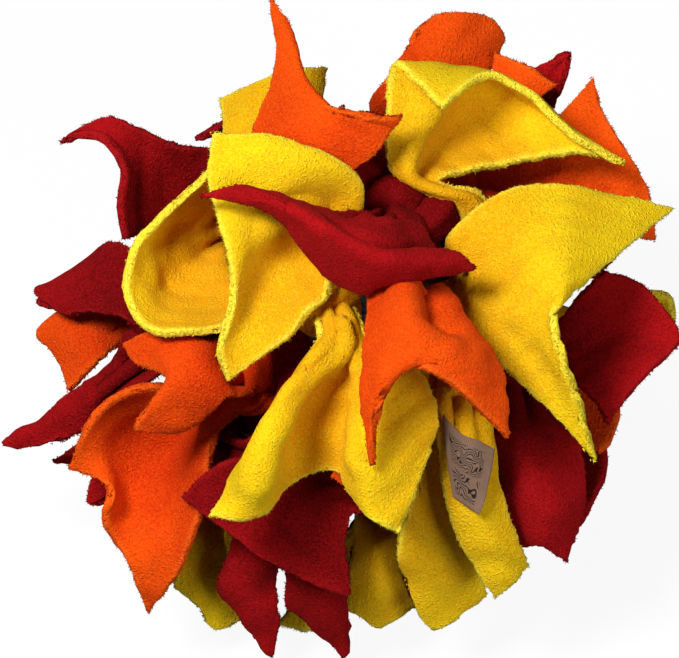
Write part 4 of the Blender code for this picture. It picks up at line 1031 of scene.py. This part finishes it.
def tufts_at(name, roots, ways, rng, finish):
    """Standing fibres: each is a closed three-sided spike, one way long, on a root point."""
    count = len(roots)
    side = unit(np.cross(ways, rng.normal(size=(count, 3))))
    other = unit(np.cross(ways, side))
    turns = np.arange(3) * 2 * np.pi / 3
    ring = (side[:, None] * np.cos(turns)[:, None] + other[:, None] * np.sin(turns)[:, None]) * TUFT_THICK / 2
    ring = ring + roots[:, None] - unit(ways)[:, None] * TUFT_THICK
    points = np.concatenate([ring, (roots + ways)[:, None]], axis=1).reshape(-1, 3)
    points[:, 2] = np.maximum(points[:, 2], 0)
    turned = np.einsum("ij,ij->i", np.cross(ring[:, 1] - ring[:, 0], ring[:, 2] - ring[:, 0]), ways) < 0
    out = np.array([[0, 1, 3], [1, 2, 3], [2, 0, 3], [2, 1, 0]])
    faces = np.where(turned[:, None, None], out[:, ::-1], out) + np.arange(count)[:, None, None] * 4
    return shown(name, points, faces.reshape(-1, 3), finish, np.full(len(points), TUFT_PALE))


def edge_tufts(tail, low, high, finish):
    """The fibres that stand out of a tail's cut edges, at even steps, of random depth, length and lean."""
    rng = np.random.default_rng(len(tail) * 7 + ord(tail[-1]))
    roots, ways = [], []
    middle = (low + high) / 2
    edges = ((middle[:, 0], middle[:, 3]), (middle[:, -1], middle[:, -4]), (middle[-1], middle[-4]))
    for line, inner in edges:
        far = lengths_along(line, 0)[0]
        at = np.arange(0, far[-1], TUFT_PITCH)
        at = at + rng.uniform(0, TUFT_PITCH, len(at))
        out = line - inner
        spot, out, straight = (np.stack([np.interp(at, far, values[:, k]) for k in range(3)], 1)
                               for values in (line, out, unit(out + 1e-9)))
        lean = rng.normal(size=(len(at), 3))
        across = unit(np.cross(straight, np.gradient(spot, axis=0) + 1e-9))
        roots.append(spot + across * rng.uniform(-TUFT_SPREAD, TUFT_SPREAD, len(at))[:, None] * FLEECE)
        size = rng.uniform(*TUFT_LENGTHS, len(at)) * rng.uniform(0.5, 1, len(at))
        ways.append(unit(unit(out + 1e-9) + lean * TUFT_LEAN) * size[:, None])
    return tufts_at("tufts_" + tail, np.concatenate(roots), np.concatenate(ways), rng, finish)


# The knots and loops
# Each strip is wound once round its rib and tied in an overhand knot on its outer side. The cloth there is
# bunched into a rope of folds, 9 mm thick.
ROPE_TURNS = 120
ROPE_SIDES = 24
LOOP_ROUND = 64
LOOP_SECTION = 24
KNOT_SPREAD = 0.0029
KNOT_RISE = 0.0044
ROPE_RADIUS = 0.0047
ROPE_RIDGE = 0.0005
ROPE_UNEVEN = 0.0003
LOOP_FOLD = 0.0004
LOOP_FILL = 0.98
KNOT_FULLNESS = {"red_d": 1.35, "yellow_a": 1.25, "orange_b": 1.15, "yellow_g": 1.15}


def knot_grid(middle, outward, along, rng):
    """An overhand knot: a trefoil curve of three crossings, square to the outward way, carrying a ridged
    rope.

    The curve's points are s (sin t + 2 sin 2t), s (cos t - 2 cos 2t) and -h sin 3t, and the rope's radius
    swells and shrinks in five ridges round it, as folded cloth does.
    """
    side = np.cross(along, outward)
    t = np.linspace(0, 2 * np.pi, ROPE_TURNS, endpoint=False) + rng.uniform(0, 6)
    x = KNOT_SPREAD * (np.sin(t) + 2 * np.sin(2 * t))
    y = KNOT_SPREAD * (np.cos(t) - 2 * np.cos(2 * t))
    z = -KNOT_RISE * np.sin(3 * t)
    line = middle + x[:, None] * along + y[:, None] * side + z[:, None] * outward
    ahead = unit(np.roll(line, -1, axis=0) - np.roll(line, 1, axis=0))
    first = unit(np.cross(ahead, outward + 0.01 * along))
    second = np.cross(ahead, first)
    turn = np.linspace(0, 2 * np.pi, ROPE_SIDES, endpoint=False)
    ridge = ROPE_RIDGE * np.sin(5 * turn[None, :] + 3 * t[:, None])
    radius = ROPE_RADIUS + ridge + ROPE_UNEVEN * np.sin(9 * t)[:, None]
    return (line[:, None] + first[:, None] * (np.cos(turn)[None] * radius)[..., None]
            + second[:, None] * (np.sin(turn)[None] * radius)[..., None])


def rounded(wave):
    """A sine or cosine made squarer, by its square root on each side of nothing."""
    return np.sign(wave) * np.abs(wave) ** 0.5


def loop_grid(seat, rng):
    """The turn of cloth round the rib: a rounded band, 3 mm by 10 mm, carried round a circle, with folds."""
    middle, outward, along = seat
    side = np.cross(along, outward)
    turn = np.linspace(0, 2 * np.pi, LOOP_ROUND, endpoint=False)
    section = np.linspace(0, 2 * np.pi, LOOP_SECTION, endpoint=False)
    flat, rise = rounded(np.cos(section)), rounded(np.sin(section))
    fold = LOOP_FOLD * np.sin(2 * section[None, :] + 3 * turn[:, None] + rng.uniform(0, 6))
    radius = (LOOP_INSIDE + FLEECE / 2 + rise[None, :] * FLEECE / 2 * LOOP_FILL
              + np.maximum(fold, 0) * (rise > 0))
    way = outward * np.cos(turn)[:, None] + side * np.sin(turn)[:, None]
    return middle + way[:, None] * radius[..., None] + along * (flat[None, :] * LOOP_WIDTH / 2)[..., None]


def knot_piece(strip, seat, finish):
    """One strip's knot and its loop, as one piece of two closed ropes of cloth, each a grid of points that
    joins up both round it and along it."""
    rng = np.random.default_rng(ord(strip[-1]) * 3)
    _, outward, along = seat
    middle = knot_middle(seat)
    rope = middle + (knot_grid(middle, outward, along, rng) - middle) * KNOT_FULLNESS.get(strip, 1)
    points, quads = [], []
    for grid in (rope, loop_grid(seat, rng)):
        index = np.arange(grid.shape[0] * grid.shape[1]).reshape(grid.shape[:2]) + sum(map(len, points))
        right, below = np.roll(index, -1, axis=1), np.roll(index, -1, axis=0)
        faces = np.stack([index, right, np.roll(right, -1, axis=0), below], -1).reshape(-1, 4)
        facing = np.cross(np.roll(grid, -1, 1) - grid, np.roll(grid, -1, 0) - grid)
        turned = np.sum(facing * (grid - grid.mean(axis=1, keepdims=True))) < 0
        quads.append(faces[:, ::-1] if turned else faces)
        points.append(grid.reshape(-1, 3))
    return shown("knot_" + strip, np.concatenate(points), np.concatenate(quads), finish)


for strip, seat in seats.items():
    finish = FINISHES[strip.split("_")[0]]
    knot = knot_piece(strip, seat, finish)
    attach(knot, "toy")
    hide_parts("strip_" + strip)
    for tail in tails_of(strip, tails):
        low, high, side, cut, size = sheet_grids(tail, laid[tail], depths[tail], knot_middle(seat))
        cloth = sheet_of("cloth_" + tail, low, high, side, np.tile(cut.ravel(), 2), finish)
        tufts = edge_tufts(tail, low, high, finish)
        for piece in (cloth, tufts):
            if tail in LIFTING:
                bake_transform(piece)
                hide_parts("tail_" + tail)
            else:
                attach(piece, "toy")
                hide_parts("strip_" + strip)


# The ribbon label
# A small tab of tan grosgrain ribbon, sewn to one yellow tail along its near edge, and printed with a plain
# pattern of thin black scrolls in two blocks.
LABEL_DOWN = (0.256, 0.54)
LABEL_ACROSS = (0.18, 0.776)
LABEL_SLANT = 0.108
LABEL_TAPER = 0.30
LABEL_CURL = 0.0018
LABEL_POINTS = 40
SCROLL_LINE = (0.22, 0.30)
SCROLLS_ACROSS = (0.14, 0.80)
BLOCK_EDGE = 0.03
RIBBON_DARK = (0.20, 0.115, 0.075, 1)
RIBBON_PALE = (0.36, 0.23, 0.16, 1)
INK = (0.012, 0.010, 0.010, 1)

# Each block of scrolls: their scale, and where the block starts and ends along the ribbon
SCROLL_BLOCKS = ((4.2, 0.10, 0.46), (2.2, 0.50, 0.88))


def scrolls(nodes, spot, scale, low, high):
    """Thin curled lines in one block of the ribbon: where a bent wave passes its middle height."""
    wave = linked(nodes, "ShaderNodeTexWave", wave_type="RINGS", Vector=spot, Scale=scale, Distortion=13,
                  Detail=1, Detail_Scale=1.4)
    off = maths(nodes, "ABSOLUTE", maths(nodes, "SUBTRACT", wave.outputs["Fac"], 0.5))
    drawn = ramp(nodes, off, *SCROLL_LINE, 1, 0)
    place = linked(nodes, "ShaderNodeSeparateXYZ", Vector=spot).outputs
    for way, start, end in (("Y", low, high), ("X", *SCROLLS_ACROSS)):
        drawn = maths(nodes, "MULTIPLY", drawn, ramp(nodes, place[way], start, start + BLOCK_EDGE, 0, 1))
        drawn = maths(nodes, "MULTIPLY", drawn, ramp(nodes, place[way], end, end + BLOCK_EDGE, 1, 0))
    return drawn


def ribbon_finish():
    """Tan ribbon: fine cross ribs of thread, with uneven dye, under the printed scrolls."""
    made, nodes = new_material("tan_ribbon")
    spot = linked(nodes, "ShaderNodeUVMap", uv_map="ribbon").outputs[0]
    ribs = linked(nodes, "ShaderNodeTexWave", Vector=spot, Scale=14, Distortion=0.4, Detail=1).outputs["Fac"]
    shade = linked(nodes, "ShaderNodeValToRGB", Fac=maths(nodes, "MULTIPLY", ribs, noise(nodes, spot, 6, 4)))
    shade.color_ramp.elements[0].color = RIBBON_DARK
    shade.color_ramp.elements[1].color = RIBBON_PALE
    ink = maths(nodes, "MAXIMUM", *(scrolls(nodes, spot, *block) for block in SCROLL_BLOCKS))
    printed = mixed(nodes, ink, shade.outputs["Color"], INK)
    bumps = linked(nodes, "ShaderNodeBump", Strength=0.5, Distance=0.0002, Height=ribs)
    fill(nodes["Principled BSDF"], Base_Color=printed, Roughness=0.7, Specular_IOR_Level=0.15,
         Normal=bumps.outputs["Normal"])
    return made


def label_grids():
    """The ribbon between two grids that lie a hair and the ribbon's depth off its tail's outer side."""
    net = laid[LABEL_TAIL]
    rows, cols = net.shape[0] - 1, net.shape[1] - 1
    s = np.linspace(0, 1, LABEL_POINTS)
    width = LABEL_ACROSS[1] - LABEL_ACROSS[0] - LABEL_TAPER * s[:, None]
    slant = LABEL_SLANT * s[None, :] * width / width[0]
    down = (np.linspace(*LABEL_DOWN, LABEL_POINTS)[:, None] + slant) * rows
    across = ((LABEL_ACROSS[0] + width * s[None, :]) * cols).ravel()
    at_rows = curve_weights(rows + 1, down.ravel())
    middle = np.einsum("ia,abk,ib->ik", at_rows, net, curve_weights(cols + 1, across))
    square = (LABEL_POINTS, LABEL_POINTS)
    middle = middle.reshape(*square, 3)
    facing, side = facing_of(middle)
    bulk = np.maximum(at_rows @ depths[LABEL_TAIL], FLEECE).reshape(*square, 1)
    low = middle + facing * (bulk / 2 + SEAT_GAP + (LABEL_CURL * s ** 3)[None, :, None])
    return low, low + facing * LABEL_DEPTH, side


low, high, side = label_grids()
label = sheet_of("ribbon_tab", low, high, side, None, ribbon_finish())
rows, cols = low.shape[:2]
uv = label.data.uv_layers.new(name="ribbon")
corners = np.zeros(len(label.data.loops), dtype=np.int32)
label.data.loops.foreach_get("vertex_index", corners)
spots = corners % (rows * cols)
uv.data.foreach_set("uv", np.stack([spots % cols / (cols - 1), spots // cols / (rows - 1)], 1).ravel())
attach(label, "toy")
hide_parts("ribbon_label")
